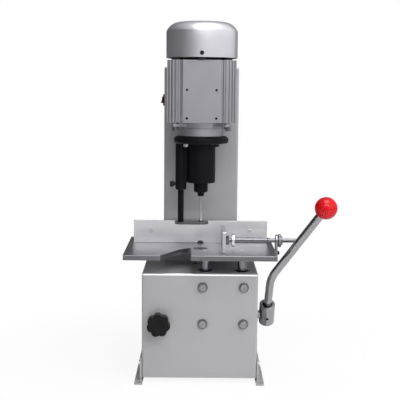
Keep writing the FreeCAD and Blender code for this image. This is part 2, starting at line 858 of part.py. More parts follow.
def build_spindle():
    """Everything that turns with the motor: spindle, chuck, bit, rotor and fan."""
    gap = dim.running_gap
    small = dim.spindle_radius
    turned_body("spindle", 0, dim.drill_y, 0,
                polygon((0, 384), (small, 384), (small, 411.5), (8, 411.5), (8, 424.5), (small, 424.5),
                        (small, 441), (13, 441), (13, 478), (dim.motor_shaft_radius, 478),
                        (dim.motor_shaft_radius, 452), (0, 452)))
    turned_body("drill_chuck", 0, dim.drill_y, 0,
                polygon((dim.bit_radius, dim.nose_bottom), (dim.nose_radius - 1, dim.nose_bottom),
                        (dim.nose_radius, dim.nose_bottom + 1), (dim.nose_radius, 376),
                        (dim.chuck_radius - 1.5, dim.chuck_bottom), (dim.chuck_radius, 381),
                        (dim.chuck_radius, dim.chuck_top), (small, dim.chuck_top), (small, 384),
                        (dim.bit_radius, 384)))
    turned_body("drill_bit", 0, dim.drill_y, 0,
                polygon((2.2, dim.bit_tip), (dim.bit_radius, dim.bit_tip + 1.5), (dim.bit_radius, 383.9),
                        (1.9, 383.9), (1.9, dim.bit_tip + 1.5)))
    shaft = dim.motor_shaft_radius
    journal = dim.motor_journal_radius
    turned_body("rotor", 0, dim.drill_y, 0,
                polygon((0, 453), (shaft, 453), (shaft, 503), (journal, 503), (journal, 517), (9, 517),
                        (9, 537), (29.5, 537), (29.5, 613), (9, 613), (9, 639), (journal, 639),
                        (journal, 653), (6, 653), (6, 682), (0, 682)))
    fan = turned_body("cooling_fan", 0, dim.drill_y, 0,
                      polygon((6, dim.fan_bottom), (dim.fan_radius, dim.fan_bottom),
                              (dim.fan_radius, dim.fan_bottom + 2), (13, dim.fan_bottom + 2),
                              (11, 681), (6, 681)))
    blade = pad(fan, "XY", dim.fan_bottom + 1, 683, rectangle(9, dim.fan_radius - 2, -1, 1))
    repeat_round(fan, blade, 8)

    bearings = []
    for x, low in ((small, 401), (small, 425)):
        bearings.append(move(ring(16, x + gap, 10), 0, dim.drill_y, low))
    for low in (504, 640):
        bearings.append(move(ring(dim.bearing_outer, journal + gap, dim.bearing_wide), 0, dim.drill_y, low))
    group("ball_bearings", bearings)


def build_presser():
    """The presser rod, its bar around the bit and the screw that clamps the rod."""
    low = dim.presser_foot_bottom
    high = low + dim.presser_foot_thick
    turned_body("presser_rod", dim.presser_x, dim.drill_y, 0,
                polygon((0, high), (dim.presser_radius, high),
                        (dim.presser_radius, dim.presser_rod_top - 1),
                        (dim.presser_radius - 1, dim.presser_rod_top), (0, dim.presser_rod_top)))
    round_end = dim.presser_foot_radius
    right = dim.presser_foot_right - round_end
    left = dim.presser_x + 2
    foot = new_body("presser_foot")
    move(foot, 0, dim.drill_y, 0)
    pad(foot, "XY", low, high, circle(left, 0, round_end))
    pad(foot, "XY", low, high, circle(right, 0, round_end))
    pad(foot, "XY", low, high, rectangle(left, right, -round_end, round_end))
    pocket(foot, "XY", low, high, circle(0, 0, 5.5))

    tip = dim.presser_x - dim.presser_radius - 0.1
    reach = tip - (dim.presser_x - dim.boss_radius)
    head = dim.clamp_head_radius
    seat = dim.clamp_reach
    screw = turned("presser_clamp_screw",
                   polygon((0, 0), (head - 0.8, 0), (head, 0.8), (head, 6.2), (head - 0.8, 7), (3.6, 7),
                           (3.6, seat - 0.5), (3, seat - 0.5), (3, seat + reach), (0, seat + reach)))
    along_x(screw, dim.presser_x - dim.boss_radius - seat, dim.drill_y, dim.clamp_screw_height)


# ---------------------------------------------------------------- motor


def build_motor():
    """The finned frame, its two end shields, the stator, the tie bolts and the fan cowl."""
    build_motor_frame()
    build_end_shields()
    build_cowl()
    core = move(ring(dim.frame_bore_radius, 30, 78), 0, dim.drill_y, 536)
    windings = [move(ring(50, 33, 11), 0, dim.drill_y, low) for low in (523, 616)]
    group("stator", [core, *windings])
    bolts = []
    offset = dim.tie_bolt_offset
    seat = dim.frame_bottom - dim.lower_ear_tall
    for x, y in corners(offset, offset):
        bolt = cap_screw(5, 8, M6, dim.frame_top + dim.upper_ear_tall - seat)
        bolts.append(move(bolt, x, dim.drill_y + y, seat))
    group("motor_tie_bolts", bolts)


def build_motor_frame():
    """A cast tube with a flat pad in front and behind, comb fins around them and corner bosses."""
    low = dim.frame_bottom
    high = dim.frame_top
    frame = new_body("motor_frame")
    move(frame, 0, dim.drill_y, 0)
    pad(frame, "XY", low, high, circle(0, 0, dim.frame_core_radius))
    half = dim.frame_pad_half
    reach = dim.frame_pad_front
    root = 30
    pad(frame, "XY", low, high,
        rectangle(-half, half, -reach, -root), rectangle(-half, half, root, reach))
    soften(frame, "Fillet", is_frame_pad_edge, dim.frame_pad_bend)
    fin = dim.frame_fin_thick
    first_fin = -36
    side_fin = pad(frame, "XY", low, high,
                   rectangle(-dim.frame_half, dim.frame_half, first_fin, fin + first_fin))
    repeat_line(frame, side_fin, 8, "Y_Axis", dim.frame_fin_pitch)
    comb = dim.comb_fin_thick
    combs = []
    for x, tip in ((43.4, 61), (47.4, 61), (54.2, 60.5), (60.2, 59), (65, 57)):
        for side in (-1, 1):
            left = side * x - comb / 2
            combs.append(rectangle(left, left + comb, -tip, -root))
            combs.append(rectangle(left, left + comb, root, tip))
    pad(frame, "XY", low, high, *combs)
    offset = dim.tie_bolt_offset
    places = corners(offset, offset)
    pad(frame, "XY", low, high, *[circle(x, y, dim.tie_boss_radius) for x, y in places])
    pad(frame, "XY", low, high, *[polygon((sx * 46, sy * 34), (sx * 56, sy * 34), (sx * 56, sy * 45),
                                          (sx * 46, sy * 45)) for sx, sy in corners(1, 1)])
    pocket(frame, "XY", low, high, circle(0, 0, dim.frame_bore_radius))
    pocket(frame, "XY", low, high, *[circle(x, y, M6) for x, y in places])
    pocket(frame, "XZ", -reach, 12 - reach,
           *[circle(x, z, dim.pad_hole_radius) for x in (-dim.pad_hole_x, dim.pad_hole_x)
             for z in (dim.pad_hole_low, dim.pad_hole_high)])


def is_frame_pad_edge(middle, direction):
    """The four upright outer edges of the motor's two flat pads."""
    return abs(direction.z) > 0.9 and abs(middle.y) > dim.frame_pad_front.value - 0.5


def build_end_shields():
    """The lower shield with its stepped face and four ears, and the upper one inside the cowl."""
    low = dim.motor_face
    split = dim.tier_split
    top = dim.frame_bottom
    small = dim.tier_small_radius
    large = dim.tier_large_radius
    bearing = dim.bearing_outer
    lower = new_body("motor_lower_shield")
    move(lower, 0, dim.drill_y, 0)
    turn(lower, polygon((10, low), (small - 1.5, low), (small, low + 1.5), (small, split - 1),
                        (small - 1.5, split - 1), (small - 1.5, split + 1), (large, split + 1),
                        (large, top), (dim.frame_bore_radius, top), (dim.frame_bore_radius, top + 4),
                        (bearing, top + 4), (bearing, 504), (10, 504)))
    corner = dim.tie_bolt_offset
    ear_low = top - dim.lower_ear_tall
    ear = pad(lower, "XY", ear_low, top,
              polygon((20, 32), (32, 20), (corner + 7, corner - 5), (corner + 7, corner + 3),
                      (corner + 3, corner + 7), (corner - 5, corner + 7)))
    repeat_round(lower, ear, 4)
    hole = pocket(lower, "XY", ear_low, top, circle(corner, corner, M6))
    repeat_round(lower, hole, 4)
    thread_depth = 8
    pocket(lower, "XY", low, low + thread_depth, *[circle(x, y, M6) for x, y in flange_bolt_places()])

    high = dim.frame_top
    upper = new_body("motor_upper_shield")
    ear_high = high + dim.upper_ear_tall
    turn(upper, polygon((9.5, high - 2), (dim.frame_bore_radius, high - 2), (dim.frame_bore_radius, high),
                        (57, high), (57, ear_high), (30, high + 8), (bearing + 4, high + 17),
                        (9.5, high + 17), (9.5, high + 13), (bearing, high + 13), (bearing, high + 2),
                        (9.5, high + 2)))
    lug = pad(upper, "XY", high, dim.cowl_screw_height + 5, rectangle(-6, 6, -66, -50))
    repeat_round(upper, lug, 3)
    tapped = pocket(upper, "XZ", -67, -54, circle(0, dim.cowl_screw_height, M4))
    repeat_round(upper, tapped, 3)
    corner = dim.tie_bolt_offset
    ear = pad(upper, "XY", high, ear_high,
              polygon((30, 42), (42, 30), (corner + 7, corner - 5), (corner + 7, corner + 3),
                      (corner + 3, corner + 7), (corner - 5, corner + 7)))
    repeat_round(upper, ear, 4)
    bolt = pocket(upper, "XY", high, ear_high, circle(corner, corner, M6))
    repeat_round(upper, bolt, 4)
    move(upper, 0, dim.drill_y, 0)


def build_cowl():
    """The round cover over the fan, with its air slots and three side screws."""
    outer = dim.cowl_radius
    wall = dim.cowl_wall
    rim = dim.cowl_rim
    crown = dim.cowl_crown
    steps = 7
    dome_outer = []
    dome_inner = []
    for index in range(steps + 1):
        angle = dim.cowl_dome_start + (90 - dim.cowl_dome_start) * (index / steps)
        across = cosine(angle)
        upward = sine(angle)
        dome_outer.append((dim.cowl_dome_radius + dim.cowl_dome_run * across,
                           dim.cowl_dome_height + dim.cowl_dome_rise * upward))
        dome_inner.append((dim.cowl_dome_radius + (dim.cowl_dome_run - wall) * across,
                           dim.cowl_dome_height + (dim.cowl_dome_rise - wall) * upward))
    shoulder = dome_outer[0][1]
    dome_outer[0] = (outer, shoulder)
    dome_inner[0] = (outer - wall, shoulder - wall / 2)
    cowl = new_body("fan_cowl")
    turn(cowl, polygon((outer - wall, rim), (outer, rim), *dome_outer, (0, crown),
                       (0, crown - wall), *reversed(dome_inner)))
    slot = pocket(cowl, "XY", shoulder + 8, crown, rectangle(12, 38, -2, 2))
    repeat_round(cowl, slot, 16)
    hole = pocket(cowl, "XZ", -outer - 1, -60, circle(0, dim.cowl_screw_height, 2.1))
    repeat_round(cowl, hole, 3)
    move(cowl, 0, dim.drill_y, 0)
    screws = []
    for third in range(3):
        heading = math.radians(120 * third - 90)
        screw = cap_screw(4, 2.5, M4, 9)
        direction = Vector(-math.cos(heading), -math.sin(heading), 0)
        rotation = FreeCAD.Rotation(Vector(0, 0, 1), direction)
        screw.Placement = FreeCAD.Placement(Vector(0, 0, 0), rotation)
        bind(screw, "Placement.Base.x", outer * math.cos(heading))
        bind(screw, "Placement.Base.y", dim.drill_y + outer * math.sin(heading))
        bind(screw, "Placement.Base.z", dim.cowl_screw_height)
        screws.append(screw)
    group("cowl_screws", screws)


# ---------------------------------------------------------------- table, fence and side stop


def build_table():
    """The worktable with its notch and rear slot, the disc under the bit and what hangs below."""
    slot = dim.table_slot_half
    table = new_body("worktable")
    pad(table, "XY", table_bottom, dim.table_top,
        polygon((-dim.table_half, dim.table_front), (dim.notch_left, dim.table_front),
                (dim.notch_knee_x, dim.notch_knee_y), (dim.notch_right, dim.notch_depth_y),
                (dim.notch_right, dim.table_front),
                (dim.table_half, dim.table_front), (dim.table_half, dim.table_back),
                (slot, dim.table_back), (slot, dim.table_slot_front),
                (-slot, dim.table_slot_front), (-slot, dim.table_back),
                (-dim.table_half, dim.table_back)))
    soften(table, "Fillet", is_notch_corner, dim.notch_fillet)
    soften(table, "Chamfer", is_front_table_edge, 1.2)
    pocket(table, "XY", dim.table_top - dim.pad_depth, dim.table_top,
           circle(0, dim.drill_y, dim.pad_radius))
    pocket(table, "XY", table_bottom, dim.table_top - dim.pad_depth, circle(0, dim.drill_y, 6))
    pocket(table, "XY", table_bottom, dim.table_top,
           circle(dim.rod_left_x, dim.rod_y, 3.1), circle(dim.rod_right_x, dim.rod_y, 3.1),
           circle(0, -4, 4.1), circle(-dim.fence_screw_x, 24, 2.9), circle(dim.fence_screw_x, 24, 2.9))
    for x, y, radius, _ in table_screw_heads():
        countersink(table, x, y, radius)
    pocket(table, "YZ", dim.table_half - 12, dim.table_half,
           circle(dim.gauge_y, dim.table_top - 5, 1.9))

    turned_body("drill_pad", 0, dim.drill_y, dim.table_top - dim.pad_depth,
                polygon((2.5, 0), (dim.pad_radius, 0), (dim.pad_radius, dim.pad_depth - 0.5),
                        (dim.pad_radius - 0.5, dim.pad_depth), (2.5, dim.pad_depth)))

    rods = []
    for x in (dim.rod_left_x, dim.rod_right_x):
        rod = cylinder(dim.rod_radius, table_bottom - dim.rod_bottom)
        move(rod, x, dim.rod_y, dim.rod_bottom)
        hole_low = move(cylinder(2.9, 20), x, dim.rod_y, dim.rod_bottom)
        hole_high = move(cylinder(2.9, 22), x, dim.rod_y, table_bottom - 22)
        rods.append(without(without(rod, hole_low), hole_high))
    group("guide_rods", rods)

    bar = new_body("tie_bar")
    bar_low = dim.rod_bottom - 12
    pad(bar, "XY", bar_low, dim.rod_bottom,
        rectangle(dim.knob_x - 13, dim.rod_right_x + 12, dim.rod_y - 12, dim.rod_y + 12))
    pocket(bar, "XY", bar_low, dim.rod_bottom,
           circle(dim.rod_left_x, dim.rod_y, 3.1), circle(dim.rod_right_x, dim.rod_y, 3.1))
    soften(bar, "Chamfer", is_upright, 3)

    screws = []
    for x, y, radius, deep in table_screw_heads():
        length = 26 if radius > 5 else 25
        shank = 4 if radius > 5 else 2.9
        screw = flat_screw(radius, deep, shank, length)
        screws.append(move(screw, x, y, dim.table_top, Vector(1, 0, 0), 180))
    for x in (dim.rod_left_x, dim.rod_right_x):
        screws.append(move(cap_screw(5, 6, 2.9, 26), x, dim.rod_y, bar_low))
    for x in (-dim.fence_screw_x, dim.fence_screw_x):
        screws.append(move(cap_screw(5.5, 5, 2.8, 13), x, 24, dim.table_top + 4.4, Vector(1, 0, 0), 180))
    screws.append(move(cap_screw(3.75, 4.5, 1.9, 14), dim.table_half + 4, dim.gauge_y,
                       dim.table_top - 5, Vector(0, 1, 0), -90))
    group("table_screws", screws)


def countersink(body, x, y, radius):
    """Sinks a right-angled cone into the table's top at a screw's place."""
    tool = body.newObject("PartDesign::SubtractiveCone", "Cone")
    tool.Radius1 = 0
    bind(tool, "Radius2", radius)
    bind(tool, "Height", radius)
    bind(tool, "Placement.Base.x", x)
    bind(tool, "Placement.Base.y", y)
    bind(tool, "Placement.Base.z", dim.table_top - radius)
    document.recompute()
    return tool


def table_screw_heads():
    """Place, head radius and head height of the flush screws in the table's top."""
    return [(dim.rod_left_x, dim.rod_y, 4.5, 1.6), (dim.rod_right_x, dim.rod_y, 4.5, 1.6), (0, -4, 7, 3)]


def is_upright(middle, direction):
    """Any upright edge."""
    return abs(direction.z) > 0.9


def is_notch_corner(middle, direction):
    """The upright edges at the blind end of the table's notch."""
    inside = dim.notch_left.value + 10 < middle.x < 0
    return abs(direction.z) > 0.9 and inside and -80 < middle.y < -50


def is_front_table_edge(middle, direction):
    """The top edge along the table's front."""
    on_top = middle.z > dim.table_top.value - 0.5
    return on_top and middle.y < dim.table_front.value + 0.5


def build_rack():
    """The rack post under the table, with a row of teeth that face the lever shaft."""
    module = dim.gear_module
    pitch_line = dim.shaft_y + gear_pitch_radius
    tooth_pitch = module * math.pi
    tip = pitch_line - module
    root = pitch_line + module * 1.25
    rack = new_body("rack_post")
    pad(rack, "XY", dim.rack_bottom, table_bottom,
        rectangle(-dim.rack_half, dim.rack_half, tip, dim.rack_back))
    pocket(rack, "XY", table_bottom - 20, table_bottom, circle(0, -4, 4))
    lean = math.tan(math.radians(20))
    half_gap = tooth_pitch / 4 + 0.06
    mouth = half_gap + (pitch_line - tip + 1) * lean
    floor = half_gap - (root - pitch_line) * lean
    middle = dim.shaft_z - tooth_pitch * 10
    gap = pocket(rack, "YZ", -dim.rack_half, dim.rack_half,
                 polygon((tip - 1, middle - mouth), (root, middle - floor),
                         (root, middle + floor), (tip - 1, middle + mouth)))
    repeat_line(rack, gap, 13, "Z_Axis", tooth_pitch)


def build_fence():
    """The upright fence, its two slotted brackets and the screws between them."""
    low = dim.table_top + dim.fence_lift
    high = low + dim.fence_tall
    face = dim.fence_face
    back = face + dim.fence_thick
    screw_x = dim.fence_screw_x
    fence = new_body("fence")
    pad(fence, "XZ", face, back, rectangle(-dim.fence_half, dim.fence_half, low, high))
    pocket(fence, "XZ", face, back, circle(0, low - 2, 7))
    pocket(fence, "XZ", face, back,
           circle(-screw_x, dim.fence_screw_height, 3.1), circle(screw_x, dim.fence_screw_height, 3.1))
    soften(fence, "Chamfer", is_fence_rim, 0.6)

    brackets = []
    for side in (-1, 1):
        centre = side * screw_x
        upright = block(centre - 13, centre + 13, back, back + 4, low, low + 40)
        foot = block(centre - 13, centre + 13, back, 46, low - 0.2, low + 4)
        angle = joined([upright, foot])
        slot = block(centre - 3.2, centre + 3.2, 21, 24 + dim.fence_travel + 3, low - 1, low + 5)
        hole = along_back(cylinder(2.9, 6), centre, back - 1, dim.fence_screw_height)
        brackets.append(without(without(angle, slot), hole))
    group("fence_brackets", brackets)
    screws = []
    for side in (-1, 1):
        screws.append(along_back(cap_screw(4.5, 2.4, 2.9, 11), side * screw_x, face,
                                 dim.fence_screw_height))
    group("fence_screws", screws)


def is_fence_rim(middle, direction):
    """The four long and short edges of the fence's front face."""
    on_face = abs(middle.y - dim.fence_face.value) < 0.01
    outer = abs(abs(middle.x) - dim.fence_half.value) < 0.01 or abs(middle.x) < 0.01
    return on_face and outer and middle.z > dim.table_top.value + 20


def build_side_stop():
    """The sliding stop plate with its rod, the bracket on the table's edge and the lock nut."""
    y = dim.gauge_y
    z = dim.gauge_z
    rod_radius = dim.gauge_rod_radius
    plate = new_body("side_stop_plate")
    pad(plate, "YZ", dim.stop_plate_left, dim.stop_plate_right,
        rectangle(dim.stop_plate_front, dim.stop_plate_back, dim.table_top + 0.4, dim.stop_plate_top))
    soften(plate, "Fillet", is_stop_plate_corner, 3)
    pocket(plate, "YZ", dim.stop_plate_left, dim.stop_plate_right, circle(y, z, rod_radius))

    left = dim.stop_plate_left + 2
    sleeve_start = 68.5 - left
    sleeve_end = 134 - left
    rod_end = dim.gauge_rod_end - left
    sleeve = dim.gauge_sleeve_radius
    rod = turned("gauge_rod",
                 polygon((0, 0), (rod_radius, 0), (rod_radius, sleeve_start), (sleeve, sleeve_start),
                         (sleeve, sleeve_end - 1), (sleeve - 1, sleeve_end), (rod_radius, sleeve_end),
                         (rod_radius, rod_end - 1), (rod_radius - 1, rod_end), (0, rod_end)))
    along_x(rod, left, y, z)
    nut = along_x(without(hexagon(9, 7), cylinder(rod_radius, 7)), dim.stop_plate_right, y, z)
    disc = along_x(ring(dim.gauge_disc_radius, rod_radius, 6), 62.5, y, z)
    group("gauge_collar", [nut, disc])

    wall = dim.table_half
    bracket = new_body("gauge_bracket")
    low = table_bottom + 0.5
    pad(bracket, "YZ", wall, wall + 4, rectangle(y - 12, y + 12, low, z))
    pad(bracket, "YZ", wall, wall + 4, circle(y, z, 12))
    pad(bracket, "YZ", wall, wall + 9, circle(y, z, 7.5))
    pocket(bracket, "YZ", wall, wall + 9, circle(y, z, rod_radius + dim.running_gap))
    pocket(bracket, "YZ", wall, wall + 4, circle(y, dim.table_top - 5, 1.9))

    thread = 7.5 + dim.running_gap
    outer = dim.gauge_disc_radius
    lock = turned("gauge_lock_nut",
                  polygon((thread, 0), (outer - 2, 0), (outer, 1.5), (outer, 5.5), (outer - 1, 6.5),
                          (8.5, 6.5), (8.5, 9), (rod_radius + 0.2, 9), (rod_radius + 0.2, 7),
                          (thread, 7)))
    along_x(lock, wall + 5, y, z)
    knurl = pocket(lock, "XY", 0, 6.5, circle(outer + 0.4, 0, 1.1))
    repeat_round(lock, knurl, 24)


def is_stop_plate_corner(middle, direction):
    """The two upper corners of the stop plate."""
    return abs(direction.x) > 0.9 and middle.z > dim.stop_plate_top.value - 1


# ---------------------------------------------------------------- guide blocks, shaft and lever


def build_guides():
    """The two guide blocks behind the front panel, their bushes and their bolts."""
    back = dim.block_back
    left = dim.block_left
    right = dim.block_right
    rods = [(dim.rod_left_x, dim.rod_y), (dim.rod_right_x, dim.rod_y)]
    upper = new_body("upper_guide_block")
    low = dim.upper_block_low
    high = dim.upper_block_high
    pad(upper, "XY", low, high, rectangle(left, right, inner_front, back))
    soften(upper, "Chamfer", is_upright, 2)
    pocket(upper, "XY", low, high, *[circle(x, y, dim.bush_radius) for x, y in rods])
    pocket(upper, "XZ", inner_front, inner_front + 17.5,
           *[circle(x, dim.bolt_upper_z, M12) for x in (dim.bolt_left_x, dim.bolt_right_x)])

    lower = new_body("lower_guide_block")
    low = dim.lower_block_low
    high = dim.lower_block_high
    ear_left = -34
    pad(lower, "XY", low, high, rectangle(ear_left, right, inner_front, back))
    for ear_start in (ear_left, 14):
        pad(lower, "YZ", ear_start, ear_start + 20, rectangle(back - 5, dim.shaft_y, low, high + 4))
        pad(lower, "YZ", ear_start, ear_start + 20, circle(dim.shaft_y, dim.shaft_z, 16))
    pad(lower, "YZ", -6, 6, rectangle(back - 3, back + 6, low - 20, low + 4))
    pocket(lower, "YZ", -13, 13, circle(dim.shaft_y, dim.shaft_z, 13.5))
    pocket(lower, "YZ", ear_left, right, circle(dim.shaft_y, dim.shaft_z, 10.5))
    pocket(lower, "XY", low, high, *[circle(x, y, dim.bush_radius) for x, y in rods])
    pocket(lower, "XZ", inner_front, inner_front + 17.5,
           *[circle(x, dim.bolt_lower_z, M12) for x in (dim.bolt_left_x, dim.bolt_right_x)])
    pocket(lower, "XZ", back - 3, back + 6, circle(0, low - 12, M8))

    gap = dim.running_gap
    bushes = []
    upper_span = (dim.upper_block_low, dim.upper_block_high)
    lower_span = (dim.lower_block_low, dim.lower_block_high)
    for low, high in (upper_span, lower_span):
        for x, y in rods:
            bushes.append(move(ring(dim.bush_radius, dim.rod_radius + gap, high - low), x, y, low))
    group("guide_bushes", bushes)

    bolts = []
    washer = 2
    for x, z in block_bolt_places():
        bolts.append(along_back(hexagon_bolt(7.6, 5.4, M12, 20), x, cabinet_front - washer, z))
        bolts.append(along_back(ring(10, M12, washer), x, cabinet_front - washer, z))
    bolts.append(along_back(cylinder(M8, 14.5), 0, back - 4, dim.lower_block_low - 12))
    group("guide_block_bolts", bolts)

    bushes = []
    for start in (ear_left, 14):
        bushes.append(along_x(ring(10.5, dim.shaft_radius + gap, 20), start, dim.shaft_y, dim.shaft_z))
    group("shaft_bushes", bushes)
    flange = turned("shaft_flange",
                    polygon((dim.shaft_radius + gap, -7), (14, -7), (14, 3), (18, 3), (18, 6), (16.5, 6.8),
                            (dim.shaft_radius + gap, 6.8)))
    along_x(flange, dim.cabinet_half - dim.sheet_thick, dim.shaft_y, dim.shaft_z)


def build_lever():
    """The lever shaft with its sector gear inside, and the hub, bent arm and ball outside."""
    shaft = turned("lever_shaft",
                   polygon((0, 0), (7, 0), (dim.shaft_radius, 1), (dim.shaft_radius, 182), (0, 182)))
    along_x(shaft, -36, dim.shaft_y, dim.shaft_z)

    hub = new_body("lever_hub")
    reach = dim.hub_radius
    turn(hub, polygon((0, -dim.hub_below), (reach - 5, -dim.hub_below), (reach, 5 - dim.hub_below),
                      (reach, dim.hub_above - 1), (reach - 1, dim.hub_above), (11, dim.hub_above),
                      (dim.lever_rod_radius, dim.hub_above - 5), (dim.lever_rod_radius, 9), (0, 9)))
    pocket(hub, "YZ", -reach, 182 - 36 - dim.hub_x, circle(0, 0, dim.shaft_radius))
    pocket(hub, "XZ", -reach, -dim.shaft_radius, circle(0, 0, 3))
    lean_to(hub, dim.hub_x)

    screw = without(cylinder(3, 6), hexagon(1.7, 2.5))
    to_back = FreeCAD.Rotation(Vector(1, 0, 0), -90)
    screw.Placement = FreeCAD.Placement(Vector(0, 0, 0), lean_rotation() * to_back)
    front = 14.5
    bind(screw, "Placement.Base.x", dim.hub_x)
    bind(screw, "Placement.Base.y", dim.shaft_y - front * cosine(dim.lever_lean))
    bind(screw, "Placement.Base.z", dim.shaft_z - front * sine(dim.lever_lean))
    keep(screw, "hub_set_screw")

    build_lever_arm()
    ball = new_body("lever_ball")
    radius = dim.ball_radius
    socket = dim.lever_rod_radius
    sketch = new_sketch(ball, "XZ", 0)
    draw_half_ball(sketch, radius)
    feature = ball.newObject("PartDesign::Revolution", "Revolution")
    feature.Profile = sketch
    feature.ReferenceAxis = (sketch, ["V_Axis"])
    feature.Angle = 360
    document.recompute()
    turn(ball, rectangle(0, socket, -radius, 2), cut=True)
    sideways = lever_points()["end"][0]
    tilt = FreeCAD.Rotation(Vector(0, 1, 0), dim.lever_tilt.value)
    ball.Placement = FreeCAD.Placement(Vector(0, 0, 0), lean_rotation() * tilt)
    bind(ball, "Placement.Base.x", dim.hub_x + sideways)
    bind(ball, "Placement.Base.y", dim.shaft_y - dim.ball_height * sine(dim.lever_lean))
    bind(ball, "Placement.Base.z", dim.shaft_z + dim.ball_height * cosine(dim.lever_lean))
    build_sector()


def draw_half_ball(sketch, radius):
    """Draws the half disc whose turn about the sketch's upright axis is a ball."""
    size = radius.value
    whole = Part.Circle(Vector(0, 0, 0), Vector(0, 0, 1), size)
    arc = sketch.addGeometry(Part.ArcOfCircle(whole, -math.pi / 2, math.pi / 2), False)
    line = sketch.addGeometry(Part.LineSegment(Vector(0, size, 0), Vector(0, -size, 0)), False)
    sketch.addConstraint(Sketcher.Constraint("Coincident", arc, 2, line, 1))
    sketch.addConstraint(Sketcher.Constraint("Coincident", arc, 1, line, 2))
    sketch.addConstraint(Sketcher.Constraint("PointOnObject", line, 1, -2))
    sketch.addConstraint(Sketcher.Constraint("PointOnObject", line, 2, -2))
    sketch.addConstraint(Sketcher.Constraint("Coincident", arc, 3, -1, 1))
    pin_radius(sketch, arc, radius)


def lean_rotation():
    """The turn that leans the lever towards the operator."""
    return FreeCAD.Rotation(Vector(1, 0, 0), dim.lever_lean.value)


def lean_to(body, x):
    """Places a lever piece on the shaft's axis, leaning with the lever."""
    body.Placement = FreeCAD.Placement(Vector(0, 0, 0), lean_rotation())
    bind(body, "Placement.Base.x", x)
    bind(body, "Placement.Base.y", dim.shaft_y)
    bind(body, "Placement.Base.z", dim.shaft_z)


def lever_start_angle():
    """The slight sideways angle of the lever's first run, in radians."""
    sideways = dim.lever_bend_x.value - dim.hub_x.value
    return math.atan2(sideways, dim.lever_bend_height.value - LEVER_FOOT)


def lever_points():
    """The ends of the lever's two straight runs, from the shaft's axis in the lever's plane."""
    first = lever_start_angle()
    second = math.radians(dim.lever_tilt.value)
    corner_x = dim.lever_bend_x - dim.hub_x
    corner_z = dim.lever_bend_height
    tangent = dim.lever_bend_radius * math.tan((second - first) / 2)
    end_along = (dim.ball_height - corner_z) / cosine(dim.lever_tilt)
    return {
        "foot": (as_size(0), as_size(LEVER_FOOT)),
        "start": (corner_x - tangent * math.sin(first), corner_z - tangent * math.cos(first)),
        "finish": (corner_x + tangent * sine(dim.lever_tilt), corner_z + tangent * cosine(dim.lever_tilt)),
        "end": (corner_x + end_along * sine(dim.lever_tilt), dim.ball_height),
    }


def build_lever_arm():
    """The round bar of the lever: a straight run, one bend and a longer straight run."""
    arm = new_body("lever_arm")
    radius = dim.lever_bend_radius
    first = lever_start_angle()
    second = math.radians(dim.lever_tilt.value)
    points = lever_points()
    path = new_sketch(arm, "XZ", 0)
    spots = {name: Vector(x.value, z.value, 0) for name, (x, z) in points.items()}
    centre = spots["start"] + Vector(math.cos(first), -math.sin(first), 0) * radius.value
    low_run = path.addGeometry(Part.LineSegment(spots["foot"], spots["start"]), False)
    high_run = path.addGeometry(Part.LineSegment(spots["finish"], spots["end"]), False)
    whole = Part.Circle(centre, Vector(0, 0, 1), radius.value)
    bend = Part.ArcOfCircle(whole, math.pi - second, math.pi - first)
    bend_index = path.addGeometry(bend, False)
    path.addConstraint(Sketcher.Constraint("Coincident", low_run, 2, bend_index, 2))
    path.addConstraint(Sketcher.Constraint("Coincident", high_run, 1, bend_index, 1))
    pin_point(path, low_run, 1, *points["foot"])
    pin_point(path, low_run, 2, *points["start"])
    pin_point(path, high_run, 1, *points["finish"])
    pin_point(path, high_run, 2, *points["end"])
    pin_radius(path, bend_index, radius)

    section = new_sketch(arm, "XY", LEVER_FOOT)
    draw_circle(section, 0, 0, dim.lever_rod_radius)
    pipe = arm.newObject("PartDesign::AdditivePipe", "AdditivePipe")
    pipe.Profile = section
    pipe.Spine = (path, ["Edge1", "Edge2", "Edge3"])
    document.recompute()
    lean_to(arm, dim.hub_x)


def build_sector():
    """The toothed sector on the lever shaft: involute teeth on a web, with a round hub."""
    pitch = gear_pitch_radius.value
    module = dim.gear_module.value
    count = int(dim.gear_teeth.value)
    base = pitch * math.cos(math.radians(20))
    tip = pitch + module
    root = pitch - 1.25 * module
    half_angle = math.pi / 2 / count - 0.0015
    step = 2 * math.pi / count
    shift = math.tan(math.radians(20)) - math.radians(20)

    def flank(radius):
        """The angle between a tooth's middle and its flank at a radius."""
        inside = math.acos(min(1.0, base / max(radius, base)))
        return half_angle + shift - (math.tan(inside) - inside)

    heights = [root, base, (base + pitch) / 2, pitch, (pitch + tip) / 2, tip]
    outline = []
    for index in range(-9, 3):
        middle = index * step
        for radius in heights:
            outline.append(polar(radius, middle - flank(radius)))
        for radius in reversed(heights):
            outline.append(polar(radius, middle + flank(radius)))
    low_edge = -9.5 * step
    high_edge = 2.5 * step
    outline.append(polar(root, high_edge))
    outline.append(polar(11, high_edge + 0.5))
    outline.append(polar(11, low_edge - 0.5))
    outline.append(polar(root, low_edge))
    outline.append(outline[0])
    half = dim.gear_half.value
    web = Part.Face(Part.makePolygon(outline)).extrude(Vector(2 * half, 0, 0))
    hub = Part.makeCylinder(12, 2 * half + 8, Vector(-4, 0, 0), Vector(1, 0, 0))
    window = Part.makeCylinder(7, 2 * half, polar(24.5, -0.31 * math.pi / 1.6), Vector(1, 0, 0))
    bore = Part.makeCylinder(dim.shaft_radius.value, 2 * half + 8, Vector(-4, 0, 0), Vector(1, 0, 0))
    shape = web.fuse(hub).cut(window).cut(bore).removeSplitter()
    sector = document.addObject("Part::Feature", "sector_gear")
    sector.Shape = shape
    move(sector, -dim.gear_half, dim.shaft_y, dim.shaft_z)
    keep(sector, "sector_gear")


def polar(radius, angle):
    """A point of the gear's plane, at an angle from +Y towards +Z."""
    return Vector(0, radius * math.cos(angle), radius * math.sin(angle))


